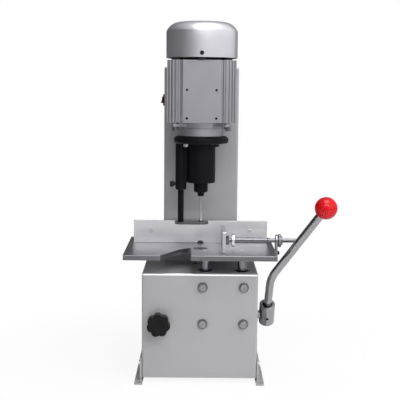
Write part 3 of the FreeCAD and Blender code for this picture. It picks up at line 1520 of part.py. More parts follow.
def build_depth_stop():
    """The block that limits the table's lift, and the star knob that clamps it."""
    x = dim.knob_x
    z = dim.knob_z
    top_of_bar = dim.rod_bottom + dim.table_travel
    stop = new_body("stop_block")
    pad(stop, "XZ", inner_front + 0.3, inner_front + 44,
        rectangle(0.5 + dim.sheet_thick - dim.cabinet_half, x + 20, top_of_bar + 0.3, z + 24))
    pocket(stop, "XZ", inner_front + 0.3, inner_front + 44, circle(x, z, 4 + dim.running_gap))
    soften(stop, "Chamfer", is_stop_rim, 2)

    knob = new_body("star_knob")
    radius = dim.knob_radius
    lobe = dim.knob_lobe
    spread = radius - lobe
    pad(knob, "XY", 8, 26, circle(0, 0, spread + 0.8))
    point = pad(knob, "XY", 8, 26,
                circle(-spread * sine(dim.knob_turn), spread * cosine(dim.knob_turn), lobe))
    repeat_round(knob, point, 7)
    turn(knob, polygon((radius - 3, 26), (radius + 1, 26), (radius + 1, 22)), cut=True)
    turn(knob, rectangle(0, 9.5, 0, 9))
    turn(knob, rectangle(0, 4, -34, 1))
    along_front(knob, x, cabinet_front - 0.3, z)


def is_stop_rim(middle, direction):
    """The long edges of the stop block."""
    return abs(direction.y) > 0.9 and abs(middle.x - dim.knob_x.value) > 10


# ---------------------------------------------------------------- checks and files


def check_document():
    """Stops if any object failed to build or any sub-part is empty or invalid."""
    document.recompute()
    for item in document.Objects:
        if {"Invalid", "Error"} & set(item.State):
            raise RuntimeError(f"{item.Label} ({item.TypeId}) failed: {item.State}")
    for node in nodes:
        if node.Shape.isNull() or not node.Shape.isValid() or node.Shape.Volume <= 0:
            raise RuntimeError(f"{node.Label} has no valid shape")


def write_parts():
    """Writes each sub-part to a file of its own."""
    os.makedirs("parts", exist_ok=True)
    for node in nodes:
        node.Shape.exportStep(os.path.join("parts", f"{node.Label}.step"))


build_cabinet()
build_column()
build_electrics()
build_head()
build_spindle()
build_presser()
build_motor()
build_table()
build_rack()
build_fence()
build_side_stop()
build_guides()
build_lever()
build_depth_stop()
check_document()
write_parts()
print(f"{len(nodes)} sub-parts")
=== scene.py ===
"""The dressed paper drill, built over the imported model.

Every class is a sub-assembly of the machine. It holds its sizes in millimetres, models its pieces by hand tools
and dresses them, and each piece ends at the origin with its place in its mesh.
"""
import json
import logging
import math
from dataclasses import dataclass, replace
from enum import Enum
from typing import Callable, Optional, Sequence

import bmesh
import bpy
from mathutils import Matrix, Vector

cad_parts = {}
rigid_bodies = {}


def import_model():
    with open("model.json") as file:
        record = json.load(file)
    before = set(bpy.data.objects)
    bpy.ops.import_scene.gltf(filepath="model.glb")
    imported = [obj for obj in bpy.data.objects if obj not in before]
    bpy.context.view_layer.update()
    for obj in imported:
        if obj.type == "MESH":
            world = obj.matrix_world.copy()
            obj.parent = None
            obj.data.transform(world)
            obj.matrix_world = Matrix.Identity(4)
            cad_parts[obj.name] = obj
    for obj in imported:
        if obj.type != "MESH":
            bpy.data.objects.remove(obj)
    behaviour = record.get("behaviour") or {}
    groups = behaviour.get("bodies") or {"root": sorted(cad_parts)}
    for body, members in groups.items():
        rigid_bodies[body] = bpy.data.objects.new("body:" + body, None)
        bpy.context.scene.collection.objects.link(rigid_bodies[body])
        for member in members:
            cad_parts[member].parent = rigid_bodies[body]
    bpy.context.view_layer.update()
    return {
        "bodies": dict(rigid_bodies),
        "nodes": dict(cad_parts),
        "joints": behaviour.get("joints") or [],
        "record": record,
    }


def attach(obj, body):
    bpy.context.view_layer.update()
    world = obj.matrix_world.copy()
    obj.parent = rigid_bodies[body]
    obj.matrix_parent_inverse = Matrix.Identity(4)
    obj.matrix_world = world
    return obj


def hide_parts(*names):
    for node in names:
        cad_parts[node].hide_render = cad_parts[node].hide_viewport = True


LOG = logging.getLogger("paper_drill")
Piece = bpy.types.Object
Socket = bpy.types.NodeSocket
Tree = bpy.types.ShaderNodeTree
Pair = tuple[float, float]
Triple = tuple[float, float, float]
Points = Sequence[Pair]
Test = Callable[[Vector, Vector], bool]

MM = 0.001
ORIGIN = Matrix.Identity(4)
SIDES = (-1, 1)
RIGHT, BACK, FRONT, DOWN = (1, 0, 0), (0, 1, 0), (0, -1, 0), (0, 0, -1)

# The least angles, in degrees, of an edge that stays sharp on a turned piece and on one with flats.
LATHE = 30.0
FLATS = 20.0

# Places that several sub-assemblies share, in millimetres.
DRILL_Y = -64.0
PRESSER_X = -40.0
ROD_X = (10.0, 84.0)
ROD_Y = -81.0
SHAFT_Y, SHAFT_Z = -49.0, 124.0
KNOB_X, KNOB_Z = -81.0, 123.0
GAUGE_Y, GAUGE_Z = -79.0, 283.5
FENCE_SCREW_X = 103.0
HEAD_BOLTS = ((-18.0, 414.0), (18.0, 414.0), (-18.0, 462.0), (18.0, 462.0))
WIRE_RADIUS, WIRE_Y = 18.0, 62.0

# The sheet metal of the cabinet and the column, in millimetres.
SHEET, BEND, INNER_BEND = 3.0, 4.0, 1.5
COVER, COVER_CORNER = 2.0, 4.0


def mm(x: float, y: float, z: float) -> Vector:
    """A place given in millimetres, in metres."""
    return Vector((x, y, z)) * MM


def linear(level: float) -> float:
    """A display level from 0 to 255 as a linear value."""
    share = level / 255
    return share / 12.92 if share <= 0.04045 else ((share + 0.055) / 1.055) ** 2.4


def tone(red: float, green: float, blue: float) -> Triple:
    """A display colour as linear values."""
    return (linear(red), linear(green), linear(blue))


# ---------------------------------------------------------------- hand tools


def deselect() -> None:
    """Leaves edit mode and deselects every object."""
    if bpy.context.object and bpy.context.object.mode != "OBJECT":
        bpy.ops.object.mode_set(mode="OBJECT")
    bpy.ops.object.select_all(action="DESELECT")


def take(piece: Piece) -> Piece:
    """Selects one object alone and makes it active."""
    deselect()
    piece.select_set(True)
    bpy.context.view_layer.objects.active = piece
    return piece


def edit(piece: Piece, mode: str = "FACE") -> None:
    """Opens a piece for editing with everything selected."""
    take(piece)
    bpy.ops.object.mode_set(mode="EDIT")
    bpy.ops.mesh.select_mode(type=mode)
    bpy.ops.mesh.select_all(action="SELECT")


def close() -> None:
    """Returns to object mode."""
    bpy.ops.object.mode_set(mode="OBJECT")


def pick(piece: Piece, kind: str, test: Test) -> int:
    """Selects the faces or the edges of a piece that pass a test, and only those.

    Args:
        piece: The piece, open for editing.
        kind: FACE or EDGE.
        test: Told the middle in millimetres, and the face's normal or the edge's direction.

    Returns:
        How many are selected.
    """
    bpy.ops.mesh.select_mode(type=kind)
    bpy.ops.mesh.select_all(action="DESELECT")
    net = bmesh.from_edit_mesh(piece.data)
    count = 0
    for part in net.faces if kind == "FACE" else net.edges:
        if kind == "FACE":
            middle, heading = part.calc_center_median(), part.normal
        else:
            start, end = (vertex.co for vertex in part.verts)
            middle, heading = (start + end) / 2, (end - start).normalized()
        if test(middle / MM, heading):
            part.select_set(True)
            count += 1
    bmesh.update_edit_mesh(piece.data)
    return count


def bevel_edges(piece: Piece, width: float, segments: int, test: Test) -> Piece:
    """Bevels the edges of a piece that pass a test.

    Args:
        piece: The piece.
        width: How far the bevel reaches, in millimetres.
        segments: How many runs it has.
        test: Told an edge's middle in millimetres and its direction.

    Returns:
        The piece.
    """
    edit(piece)
    pick(piece, "EDGE", test)
    bpy.ops.mesh.bevel(offset=width * MM, segments=segments, affect="EDGES")
    close()
    return piece


def round_corners(points: Points, radii: Sequence[float], steps: int = 6) -> list[Pair]:
    """Rounds the corners of a closed outline.

    Args:
        points: The corners, in order.
        radii: The radius at each corner, 0 where it stays sharp.
        steps: How many runs make each round.

    Returns:
        The outline with its rounds as short runs.
    """
    outline: list[Pair] = []
    count = len(points)
    for index, (here, radius) in enumerate(zip(points, radii)):
        corner = Vector(here)
        if radius <= 0:
            outline.append(here)
            continue
        back = (Vector(points[index - 1]) - corner).normalized()
        ahead = (Vector(points[(index + 1) % count]) - corner).normalized()
        half = back.angle(ahead) / 2
        start = corner + back * radius / math.tan(half)
        end = corner + ahead * radius / math.tan(half)
        middle = corner + (back + ahead).normalized() * radius / math.sin(half)
        sweep = (start - middle).angle_signed(end - middle)
        for step in range(steps + 1):
            spoke = (start - middle).copy()
            spoke.rotate(Matrix.Rotation(-sweep * step / steps, 2))
            outline.append(tuple(middle + spoke))
    return outline


def rounded(low: Pair, high: Pair, *radii: float, steps: int = 6) -> Points:
    """A rectangle's outline with rounded corners.

    Args:
        low: Its first corner.
        high: The corner across from it.
        radii: One radius for all corners, or one for each in turn from the first corner on.
        steps: How many runs make each round.

    Returns:
        The outline.
    """
    corners = [low, (high[0], low[1]), high, (low[0], high[1])]
    return round_corners(corners, radii * 4 if len(radii) == 1 else radii, steps)


def first_vertex(name: str, place: Vector) -> Piece:
    """Makes a piece of one vertex, open for editing with that vertex selected."""
    deselect()
    bpy.ops.mesh.primitive_plane_add(size=MM)
    piece = bpy.context.object
    piece.name = name
    edit(piece, "VERT")
    bpy.ops.mesh.merge(type="CENTER")
    bpy.ops.transform.translate(value=place)
    return piece


def draw_on(places: Sequence[Vector]) -> None:
    """Extrudes the selected vertex from the first place through the others."""
    for here, there in zip(places, places[1:]):
        bpy.ops.mesh.extrude_region_move(TRANSFORM_OT_translate={"value": there - here})


def merge_and_turn_out() -> None:
    """Merges doubled vertices and points every face outwards."""
    bpy.ops.mesh.select_all(action="SELECT")
    bpy.ops.mesh.remove_doubles(threshold=2e-6)
    bpy.ops.mesh.normals_make_consistent(inside=False)


def plate(name: str, outline: Points, axis: str, low: float, high: float) -> Piece:
    """Draws an outline and extrudes it into a plate.

    Args:
        name: The new piece's name.
        outline: Its corners in millimetres: (y, z) for axis X, (x, z) for Y and (x, y) for Z.
        axis: The axis across the plate.
        low: Where the plate starts on that axis, in millimetres.
        high: Where it ends.

    Returns:
        The plate.
    """
    spread = {"X": lambda a, b: mm(low, a, b), "Y": lambda a, b: mm(a, low, b), "Z": lambda a, b: mm(a, b, low)}
    places = [spread[axis](a, b) for a, b in outline]
    piece = first_vertex(name, places[0])
    draw_on([*places, places[0]])
    bpy.ops.mesh.select_all(action="SELECT")
    bpy.ops.mesh.remove_doubles(threshold=2e-6)
    bpy.ops.mesh.edge_face_add()
    rise = Vector([(high - low) * MM * (axis == letter) for letter in "XYZ"])
    bpy.ops.mesh.extrude_region_move(TRANSFORM_OT_translate={"value": rise})
    merge_and_turn_out()
    close()
    return piece


def turned(name: str, profile: Points, frame: Matrix, steps: int = 64) -> Piece:
    """Spins a profile about its own Z axis, as on a lathe.

    Args:
        name: The new piece's name.
        profile: Radius and height of each point, in millimetres.
        frame: Where the lathe's axis goes, in metres.
        steps: How many faces go round.

    Returns:
        The turned piece.
    """
    places = [mm(radius, 0, height) for radius, height in profile]
    piece = first_vertex(name, places[0])
    draw_on(places)
    bpy.ops.mesh.select_all(action="SELECT")
    bpy.ops.mesh.spin(steps=steps, angle=math.tau, center=(0, 0, 0), axis=(0, 0, 1))
    merge_and_turn_out()
    close()
    return place(piece, frame)


def place(piece: Piece, frame: Matrix) -> Piece:
    """Puts a piece in a frame, and its place into its mesh."""
    take(piece)
    piece.matrix_world = frame @ piece.matrix_world
    bpy.ops.object.transform_apply(location=True, rotation=True, scale=True)
    return piece


def upright(x: float, y: float, z: float = 0.0) -> Matrix:
    """A frame at a place in millimetres, with its Z axis up."""
    return Matrix.Translation(mm(x, y, z))


def aimed(x: float, y: float, z: float, axis: Triple) -> Matrix:
    """A frame at a place in millimetres whose Z axis points along an axis."""
    turn = Vector((0, 0, 1)).rotation_difference(Vector(axis)).to_matrix().to_4x4()
    return Matrix.Translation(mm(x, y, z)) @ turn


def box(name: str, low: Triple, high: Triple) -> Piece:
    """A block between two corners in millimetres, ready to be shaped."""
    deselect()
    start, end = mm(*low), mm(*high)
    bpy.ops.mesh.primitive_cube_add(size=1, location=(start + end) / 2, scale=end - start)
    piece = bpy.context.object
    piece.name = name
    bpy.ops.object.transform_apply(location=True, rotation=True, scale=True)
    return piece


def folded(name: str, low: Triple, high: Triple, bend: float, segments: int) -> Piece:
    """A block whose front uprights and top edges are bent as folded sheet is, save the top's back edge.

    Args:
        name: The new piece's name.
        low: Its low corner, in millimetres.
        high: Its high corner.
        bend: How far each bend reaches.
        segments: How many runs make a bend.

    Returns:
        The block.
    """
    return bevel_edges(box(name, low, high), bend, segments, lambda middle, along: (
        (abs(along.z) > 0.9 and middle.y < low[1] + 1) or (middle.z > high[2] - 1 and middle.y < high[1] - 1)))


def rod(name: str, radius: float, height: float, frame: Matrix, steps: int = 48) -> Piece:
    """A round blank that stands on its frame, used as a cutter or a start."""
    return turned(name, [(0, 0), (radius, 0), (radius, height), (0, height)], frame, steps)


def apply(piece: Piece, kind: str, **settings: object) -> Piece:
    """Adds a modifier with its settings and applies it.

    Args:
        piece: The piece that gets it.
        kind: The modifier's type.
        settings: Its values by name.

    Returns:
        The piece.
    """
    take(piece)
    modifier = piece.modifiers.new(kind.title(), kind)
    for name, value in settings.items():
        setattr(modifier, name, value)
    bpy.ops.object.modifier_apply(modifier=modifier.name)
    return piece


def combine(operation: str, piece: Piece, *others: Piece) -> Piece:
    """Applies a boolean with each other piece in turn, and removes the others."""
    for other in others:
        apply(piece, "BOOLEAN", operation=operation, solver="EXACT", object=other)
        bpy.data.objects.remove(other)
    return piece


def cut(piece: Piece, *cutters: Piece) -> Piece:
    """Takes the shape of each cutter out of a piece."""
    return combine("DIFFERENCE", piece, *cutters)


def weld(piece: Piece, *others: Piece) -> Piece:
    """Makes one solid of a piece and others."""
    return combine("UNION", piece, *others)


def gather(name: str, pieces: Sequence[Piece]) -> Piece:
    """Joins separate pieces into one object."""
    take(pieces[0])
    for piece in pieces:
        piece.select_set(True)
    bpy.ops.object.join()
    pieces[0].name = name
    return pieces[0]


def soften(piece: Piece, width: float, segments: int = 2, angle: float = 35.0) -> Piece:
    """Rounds the sharp edges of a piece and shades it.

    Args:
        piece: The piece.
        width: How far each round reaches, in millimetres.
        segments: How many runs make a round.
        angle: The least angle of an edge that is rounded, in degrees.

    Returns:
        The piece.
    """
    apply(piece, "BEVEL", width=width * MM, segments=segments, limit_method="ANGLE", angle_limit=math.radians(angle),
          miter_outer="MITER_ARC", use_clamp_overlap=True)
    return shade(piece)


def shade(piece: Piece, angle: float = 38.0) -> Piece:
    """Shades a piece smooth, apart from its sharp edges, with its flats kept flat."""
    take(piece)
    bpy.ops.object.shade_smooth_by_angle(angle=math.radians(angle))
    return apply(piece, "WEIGHTED_NORMAL", keep_sharp=True)


def copies(piece: Piece, frames: Sequence[Matrix]) -> list[Piece]:
    """Copies a piece, modelled at the origin, into each frame, and keeps the first for itself."""
    made = []
    for frame in frames[1:]:
        take(piece)
        bpy.ops.object.duplicate(linked=False)
        made.append(place(bpy.context.object, frame))
    return [place(piece, frames[0]), *made]


def around(count: int) -> list[Matrix]:
    """Frames that turn evenly about the Z axis."""
    return [Matrix.Rotation(math.tau * index / count, 4, "Z") for index in range(count)]


def recast(solid: Piece, name: str) -> Piece:
    """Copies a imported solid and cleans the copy's loose triangles, as a blank for a casting.

    Args:
        solid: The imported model's own object, which stays as it is.
        name: The new piece's name.

    Returns:
        The blank.
    """
    take(solid)
    bpy.ops.object.duplicate(linked=False)
    blank = bpy.context.object
    blank.name = name
    blank.parent = None
    for key in list(blank.keys()):
        del blank[key]
    blank.data.materials.clear()
    edit(blank)
    bpy.ops.mesh.remove_doubles(threshold=4e-6)
    bpy.ops.mesh.dissolve_limited(angle_limit=math.radians(0.6))
    close()
    return blank


# ---------------------------------------------------------------- finishes


class Grain(Enum):
    """The lay of a finish: how many grains lie in a metre along X, Y and Z."""

    CAST = (700.0, 700.0, 700.0)
    PEEL = (420.0, 420.0, 420.0)
    MOULDED = (1500.0, 1500.0, 1500.0)
    BRUSHED_X = (24.0, 2600.0, 2600.0)
    BRUSHED_Z = (2200.0, 2200.0, 30.0)
    RINGS_X = (3200.0, 16.0, 16.0)
    RINGS_Z = (16.0, 16.0, 3200.0)


@dataclass(frozen=True)
class Finish:
    """A surface finish: its colour and gloss, its grain, and how it wears and gathers dust."""

    name: str
    slot: str
    colour: Triple
    roughness: float
    metallic: float = 0.0
    coat: float = 0.0
    specular: float = 0.5
    grain: Grain = Grain.PEEL
    depth: float = 0.02
    variation: float = 0.06
    gloss_variation: float = 0.05
    cloud: float = 0.04
    edge: float = 0.4
    wear: float = 0.0
    wear_colour: Triple = (0.45, 0.45, 0.46)
    dust: float = 0.0


POWDER_COAT = Finish("GreyPowderCoat", "painted_sheet", tone(165, 164, 166), 0.38, coat=0.3, depth=0.03,
                     variation=0.03, edge=0.5, wear=0.12, dust=0.08)
# A pale glossy copy of the powder coat for the cabinet's top front bend: a painted highlight line.
BEND_HIGHLIGHT_COAT = Finish("PaintedHighlightBend", "painted_sheet", tone(238, 237, 239), 0.30, metallic=0.6, coat=0.6,
                   depth=0.02, variation=0.03, edge=0.5)
COLUMN_COAT = Finish("ColumnPowderCoat", "painted_sheet", tone(164, 163, 166), 0.36, metallic=0.3, depth=0.025,
                     variation=0.03, edge=0.5, wear=0.1, dust=0.06)
CAST_ENAMEL = Finish("BlackCastEnamel", "black_casting", tone(14, 13, 17), 0.40, specular=0.12, grain=Grain.CAST,
                     depth=0.06, variation=0.2, edge=1.0, wear=0.15, wear_colour=(0.02, 0.02, 0.022))
MOTOR_PAINT = Finish("SilverMotorPaint", "motor_alloy", tone(170, 170, 174), 0.38, metallic=0.8, grain=Grain.CAST,
                     depth=0.04, variation=0.05, edge=0.8, wear=0.15, dust=0.06)
COWL_PAINT = Finish("SilverCowlPaint", "cowl_steel", tone(226, 225, 230), 0.31, metallic=0.9, depth=0.02,
                    variation=0.02, edge=0.4, wear=0.1, dust=0.03)
# The upper end shield's near black: painted shade inside the cowl.
SHIELD_SHADE = Finish("ShadedEndShield", "motor_alloy", tone(34, 34, 36), 0.5, specular=0.2, grain=Grain.CAST,
                     depth=0.04, variation=0.1, edge=0.8)
# Near black for the cowl's inner faces: painted shade under its rim.
COWL_INNER_SHADE = Finish("CowlInnerShade", "cowl_steel", tone(24, 24, 26), 0.6, specular=0.15, depth=0.02, variation=0.1,
                     edge=0.3)
TABLE_STEEL = Finish("BrushedTableSteel", "machined_steel", tone(160, 159, 164), 0.32, metallic=1.0,
                     grain=Grain.BRUSHED_X, depth=0.012, variation=0.22, gloss_variation=0.10, cloud=0.08, edge=0.3)
# A darker copy of the table steel for the plate's side faces: painted shade.
TABLE_EDGE_SHADE = Finish("ShadedTableEdge", "machined_steel", tone(116, 116, 119), 0.42, metallic=0.8,
                    grain=Grain.BRUSHED_X, depth=0.012, variation=0.15, gloss_variation=0.10, edge=0.3)
FENCE_PLATE = Finish("BrushedFencePlate", "fence_aluminium", tone(246, 245, 249), 0.36, metallic=0.9,
                     grain=Grain.BRUSHED_X, depth=0.012, variation=0.18, gloss_variation=0.08, cloud=0.11, edge=0.3)
STOP_PLATE = Finish("BrushedStopPlate", "fence_aluminium", tone(200, 199, 203), 0.48, metallic=0.8,
                    grain=Grain.BRUSHED_Z, depth=0.012, variation=0.14, gloss_variation=0.08, edge=0.3)
# Ground steel, partly its own grey and partly darkened as painted shade, for the rods under the table.
SHADED_GROUND_ROD = Finish("ShadedGroundRod", "polished_steel", tone(124, 124, 128), 0.17, metallic=1.0, grain=Grain.RINGS_Z,
                    depth=0.004, variation=0.05, gloss_variation=0.05, edge=0.3)
GAUGE_STEEL = Finish("TurnedGaugeSteel", "polished_steel", tone(110, 110, 113), 0.18, metallic=1.0,
                     grain=Grain.RINGS_X, depth=0.006, variation=0.06, gloss_variation=0.06, edge=0.3)
LEVER_CHROME = Finish("LeverChrome", "polished_steel", tone(162, 162, 164), 0.09, metallic=1.0, grain=Grain.PEEL,
                      depth=0.001, variation=0.03, gloss_variation=0.01, edge=0.0)
MACHINED = Finish("MachinedSteel", "machined_steel", tone(160, 160, 163), 0.36, metallic=1.0, grain=Grain.BRUSHED_Z,
                  depth=0.01, variation=0.10, gloss_variation=0.10, edge=0.4)
ZINC = Finish("ZincScrew", "zinc_screws", tone(222, 222, 224), 0.28, metallic=1.0, grain=Grain.MOULDED, depth=0.01,
              variation=0.08, edge=0.25)
DULL_ZINC = replace(ZINC, name="DullZincBolt", colour=tone(118, 118, 120), roughness=0.34, variation=0.12)
HEAD_ZINC = replace(ZINC, name="BoltHeadZinc", colour=tone(152, 152, 154), roughness=0.38, variation=0.10, edge=0.5)
BLACK_OXIDE = replace(ZINC, name="BlackOxide", colour=tone(26, 26, 28), roughness=0.40, metallic=0.2, specular=0.2,
                      variation=0.15, edge=0.3, wear=0.2, wear_colour=(0.05, 0.05, 0.05))
PRESSER_BLACK = Finish("BlackenedRod", "blackened_steel", tone(13, 13, 15), 0.34, specular=0.12, grain=Grain.RINGS_Z,
                       depth=0.005, variation=0.12, edge=0.4, wear=0.1, wear_colour=(0.03, 0.03, 0.032))
BIT_STEEL = Finish("BitSteel", "tool_steel", tone(200, 200, 203), 0.14, metallic=1.0, grain=Grain.RINGS_Z, depth=0.006,
                   variation=0.08, edge=0.2)
BEARING_BRONZE = Finish("BearingBronze", "bronze", tone(168, 132, 84), 0.35, metallic=1.0, grain=Grain.MOULDED,
                        depth=0.01, variation=0.12)
BAKELITE = Finish("BlackBakelite", "black_plastic", tone(13, 13, 14), 0.34, specular=0.2, grain=Grain.MOULDED,
                  depth=0.012, variation=0.10, edge=0.5, dust=0.01)
BALL_RED = Finish("RedBall", "red_plastic", tone(198, 8, 21), 0.27, specular=0.3, grain=Grain.PEEL,
                  depth=0.0005, variation=0.01, gloss_variation=0.005, edge=0.0)
ROCKER_RED = Finish("RockerRed", "red_plastic", tone(84, 16, 19), 0.30, specular=0.25, grain=Grain.MOULDED,
                    depth=0.006, variation=0.06, edge=0.3)
CAPACITOR = Finish("CapacitorCan", "capacitor_plastic", tone(205, 205, 200), 0.45, grain=Grain.MOULDED, depth=0.01,
                   variation=0.05)

# Values that all finishes share; the wear's radius is in metres.
WORN_RADIUS = 0.0007
CLOUD_CONTRAST = 1.6
DUST_COLOUR = (0.42, 0.40, 0.37, 1.0)
COAT_ROUGHNESS = 0.08
LEAST_ROUGHNESS = 0.03
RELIEF_STRENGTH = 0.6
WHITE = (1.0, 1.0, 1.0, 1.0)


class NodeBench:
    """Adds nodes to a tree and wires them, so that a finish reads as a list of steps."""

    def __init__(self, tree: bpy.types.NodeTree) -> None:
        """Opens a tree."""
        self.tree = tree

    @classmethod
    def effect(cls, name: str, output: str, **inputs: object) -> "NodeBench":
        """Opens a new shader node group with one output.

        Args:
            name: The group's name.
            output: The output's name.
            inputs: Each input's default value, a number or a vector, by its name.

        Returns:
            The bench over the group.
        """
        tree = bpy.data.node_groups.new(name, "ShaderNodeTree")
        for label, value in inputs.items():
            kind = "NodeSocketVector" if isinstance(value, tuple) else "NodeSocketFloat"
            tree.interface.new_socket(label, in_out="INPUT", socket_type=kind).default_value = value
        tree.interface.new_socket(output, in_out="OUTPUT", socket_type="NodeSocketFloat")
        return cls(tree)

    def add(self, kind: str, settings: Optional[dict[str, object]] = None, **feeds: object) -> bpy.types.Node:
        """Adds a node.

        Args:
            kind: The node's type, without its prefix.
            settings: Properties of the node itself.
            feeds: What goes into its inputs: i0, i1 and so on by number, or a socket's name with _ for a space.

        Returns:
            The node.
        """
        prefix = "" if kind.startswith("NodeGroup") else "ShaderNode"
        node = self.tree.nodes.new(prefix + kind)
        for name, value in (settings or {}).items():
            setattr(node, name, value)
        for name, value in feeds.items():
            by_number = name[0] == "i" and name[1:].isdigit()
            self.feed(node.inputs[int(name[1:])] if by_number else node.inputs[name.replace("_", " ")], value)
        return node

    def feed(self, socket: Socket, value: object) -> None:
        """Links an output to a socket, or sets the socket's value."""
        if isinstance(value, Socket):
            self.tree.links.new(value, socket)
        else:
            socket.default_value = value

    def math(self, operation: str, first: object, second: object = 0.0, clamp: bool = False) -> Socket:
        """A Math node's output."""
        node = self.add("Math", {"operation": operation, "use_clamp": clamp}, i0=first, i1=second)
        return node.outputs[0]

    def multiply(self, *factors: object, clamp: bool = False) -> Socket:
        """The product of its factors, clamped at each step if asked."""
        product = factors[0]
        for factor in factors[1:]:
            product = self.math("MULTIPLY", product, factor, clamp)
        return product

    def place(self) -> Socket:
        """The place on the object, in metres."""
        return self.add("TexCoord").outputs["Object"]

    def blend(self, share: object, first: object, second: object) -> Socket:
        """The colour between two, by a share."""
        node = self.add("Mix", {"data_type": "RGBA"}, i0=share, i6=first, i7=second)
        return node.outputs[2]


class FinishShop:
    """Makes each finish's material once, from four shared effects."""

    def __init__(self) -> None:
        """Builds the effects."""
        self.made: dict[str, bpy.types.Material] = {}
        self.grain = self._grain_group()
        self.cloud = self._cloud_group()
        self.edges = self._edge_group()
        self.dust = self._dust_group()

    def _grain_group(self) -> Tree:
        """Fine relief that can be stretched into brushing or turning marks."""
        bench = NodeBench.effect("SurfaceGrain", "Height", Stretch=(1.0, 1.0, 1.0))
        stretch = bench.add("NodeGroupInput").outputs["Stretch"]
        where = bench.add("VectorMath", {"operation": "MULTIPLY"}, i0=bench.place(), i1=stretch).outputs[0]
        fine = bench.add("TexNoise", Vector=where, Scale=1.0, Detail=3.0, Roughness=0.62).outputs["Fac"]
        coarse = bench.add("TexNoise", Vector=where, Scale=0.13, Detail=3.0, Roughness=0.6).outputs["Fac"]
        both = bench.math("ADD", bench.multiply(fine, 0.5), bench.multiply(coarse, 0.5))
        bench.add("NodeGroupOutput", Height=both)
        return bench.tree

    def _cloud_group(self) -> Tree:
        """Broad soft clouds that vary a colour or a gloss from place to place."""
        bench = NodeBench.effect("ToneClouds", "Share", Size=0.05)
        scale = bench.math("DIVIDE", 1.0, bench.add("NodeGroupInput").outputs["Size"])
        noise = bench.add("TexNoise", Vector=bench.place(), Scale=scale, Detail=4.0, Roughness=0.55).outputs["Fac"]
        spread = bench.multiply(bench.math("SUBTRACT", noise, 0.5), CLOUD_CONTRAST)
        bench.add("NodeGroupOutput", Share=bench.math("ADD", spread, 0.5, clamp=True))
        return bench.tree

    def _edge_group(self) -> Tree:
        """A mask of sharp edges, broken up as real wear is."""
        bench = NodeBench.effect("EdgeWear", "Mask", Amount=0.2)
        rounded_off = bench.add("Bevel", {"samples": 4}, Radius=WORN_RADIUS).outputs[0]
        flat = bench.add("NewGeometry").outputs["Normal"]
        together = bench.add("VectorMath", {"operation": "DOT_PRODUCT"}, i0=rounded_off, i1=flat).outputs["Value"]
        turned_away = bench.multiply(bench.math("SUBTRACT", 1.0, together), 9.0, clamp=True)
        patches = bench.add("TexNoise", Vector=bench.place(), Scale=160.0, Detail=3.0).outputs["Fac"]
        broken = bench.multiply(bench.math("SUBTRACT", patches, 0.38, clamp=True), 3.0, clamp=True)
        amount = bench.add("NodeGroupInput").outputs["Amount"]
        bench.add("NodeGroupOutput", Mask=bench.multiply(bench.multiply(turned_away, broken), amount, clamp=True))
        return bench.tree

    def _dust_group(self) -> Tree:
        """A mask of faces that look up, thin and patchy as settled dust."""
        bench = NodeBench.effect("SettledDust", "Mask", Amount=0.1)
        up = bench.add("SeparateXYZ", Vector=bench.add("NewGeometry").outputs["Normal"]).outputs["Z"]
        facing = bench.math("POWER", bench.math("MAXIMUM", up, 0.0), 3.0)
        patches = bench.add("TexNoise", Vector=bench.place(), Scale=55.0, Detail=6.0, Roughness=0.7).outputs["Fac"]
        amount = bench.add("NodeGroupInput").outputs["Amount"]
        bench.add("NodeGroupOutput", Mask=bench.multiply(bench.multiply(facing, patches), amount, clamp=True))
        return bench.tree

    def _use(self, bench: NodeBench, tree: Tree, **values: object) -> Socket:
        """Places an effect in a material with that material's own values."""
        return bench.add("Group", {"node_tree": tree}, **values).outputs[0]

    def material(self, finish: Finish) -> bpy.types.Material:
        """Gives a finish's material, made at its first use.

        Args:
            finish: The finish.

        Returns:
            Its material.
        """
        if finish.name in self.made:
            return self.made[finish.name]
        material = bpy.data.materials.new(finish.name)
        material.use_nodes = True
        tree = material.node_tree
        tree.nodes.clear()
        bench = NodeBench(tree)
        height = self._use(bench, self.grain, Stretch=finish.grain.value)
        clouds = self._use(bench, self.cloud, Size=finish.cloud)
        streaks = bench.math("ADD", bench.multiply(clouds, 0.6), bench.multiply(height, 0.4))
        dark = tuple(level * (1 - finish.variation) for level in finish.colour)
        light = tuple(min(1.0, level * (1 + finish.variation)) for level in finish.colour)
        colour = bench.blend(streaks, (*dark, 1.0), (*light, 1.0))
        if finish.wear:
            worn = self._use(bench, self.edges, Amount=finish.wear)
            colour = bench.blend(worn, colour, (*finish.wear_colour, 1.0))
        low, high = finish.roughness - finish.gloss_variation, finish.roughness + finish.gloss_variation
        gloss = bench.add("MapRange", Value=streaks, To_Min=max(LEAST_ROUGHNESS, low), To_Max=high).outputs[0]
        if finish.dust:
            settled = self._use(bench, self.dust, Amount=finish.dust)
            colour = bench.blend(settled, colour, DUST_COLOUR)
            gloss = bench.math("ADD", gloss, bench.multiply(settled, 0.5), clamp=True)
        relief = bench.add("Bump", Height=height, Strength=RELIEF_STRENGTH, Distance=finish.depth * MM)
        if finish.edge:
            bench.feed(relief.inputs["Normal"], bench.add("Bevel", {"samples": 4}, Radius=finish.edge * MM).outputs[0])
        shader = bench.add("BsdfPrincipled", Base_Color=colour, Metallic=finish.metallic, Roughness=gloss,
                           Normal=relief.outputs[0], Coat_Weight=finish.coat, Coat_Roughness=COAT_ROUGHNESS,
                           Specular_IOR_Level=finish.specular)
        bench.add("OutputMaterial", Surface=shader.outputs[0])
        self.made[finish.name] = material
        return material


# ---------------------------------------------------------------- the works


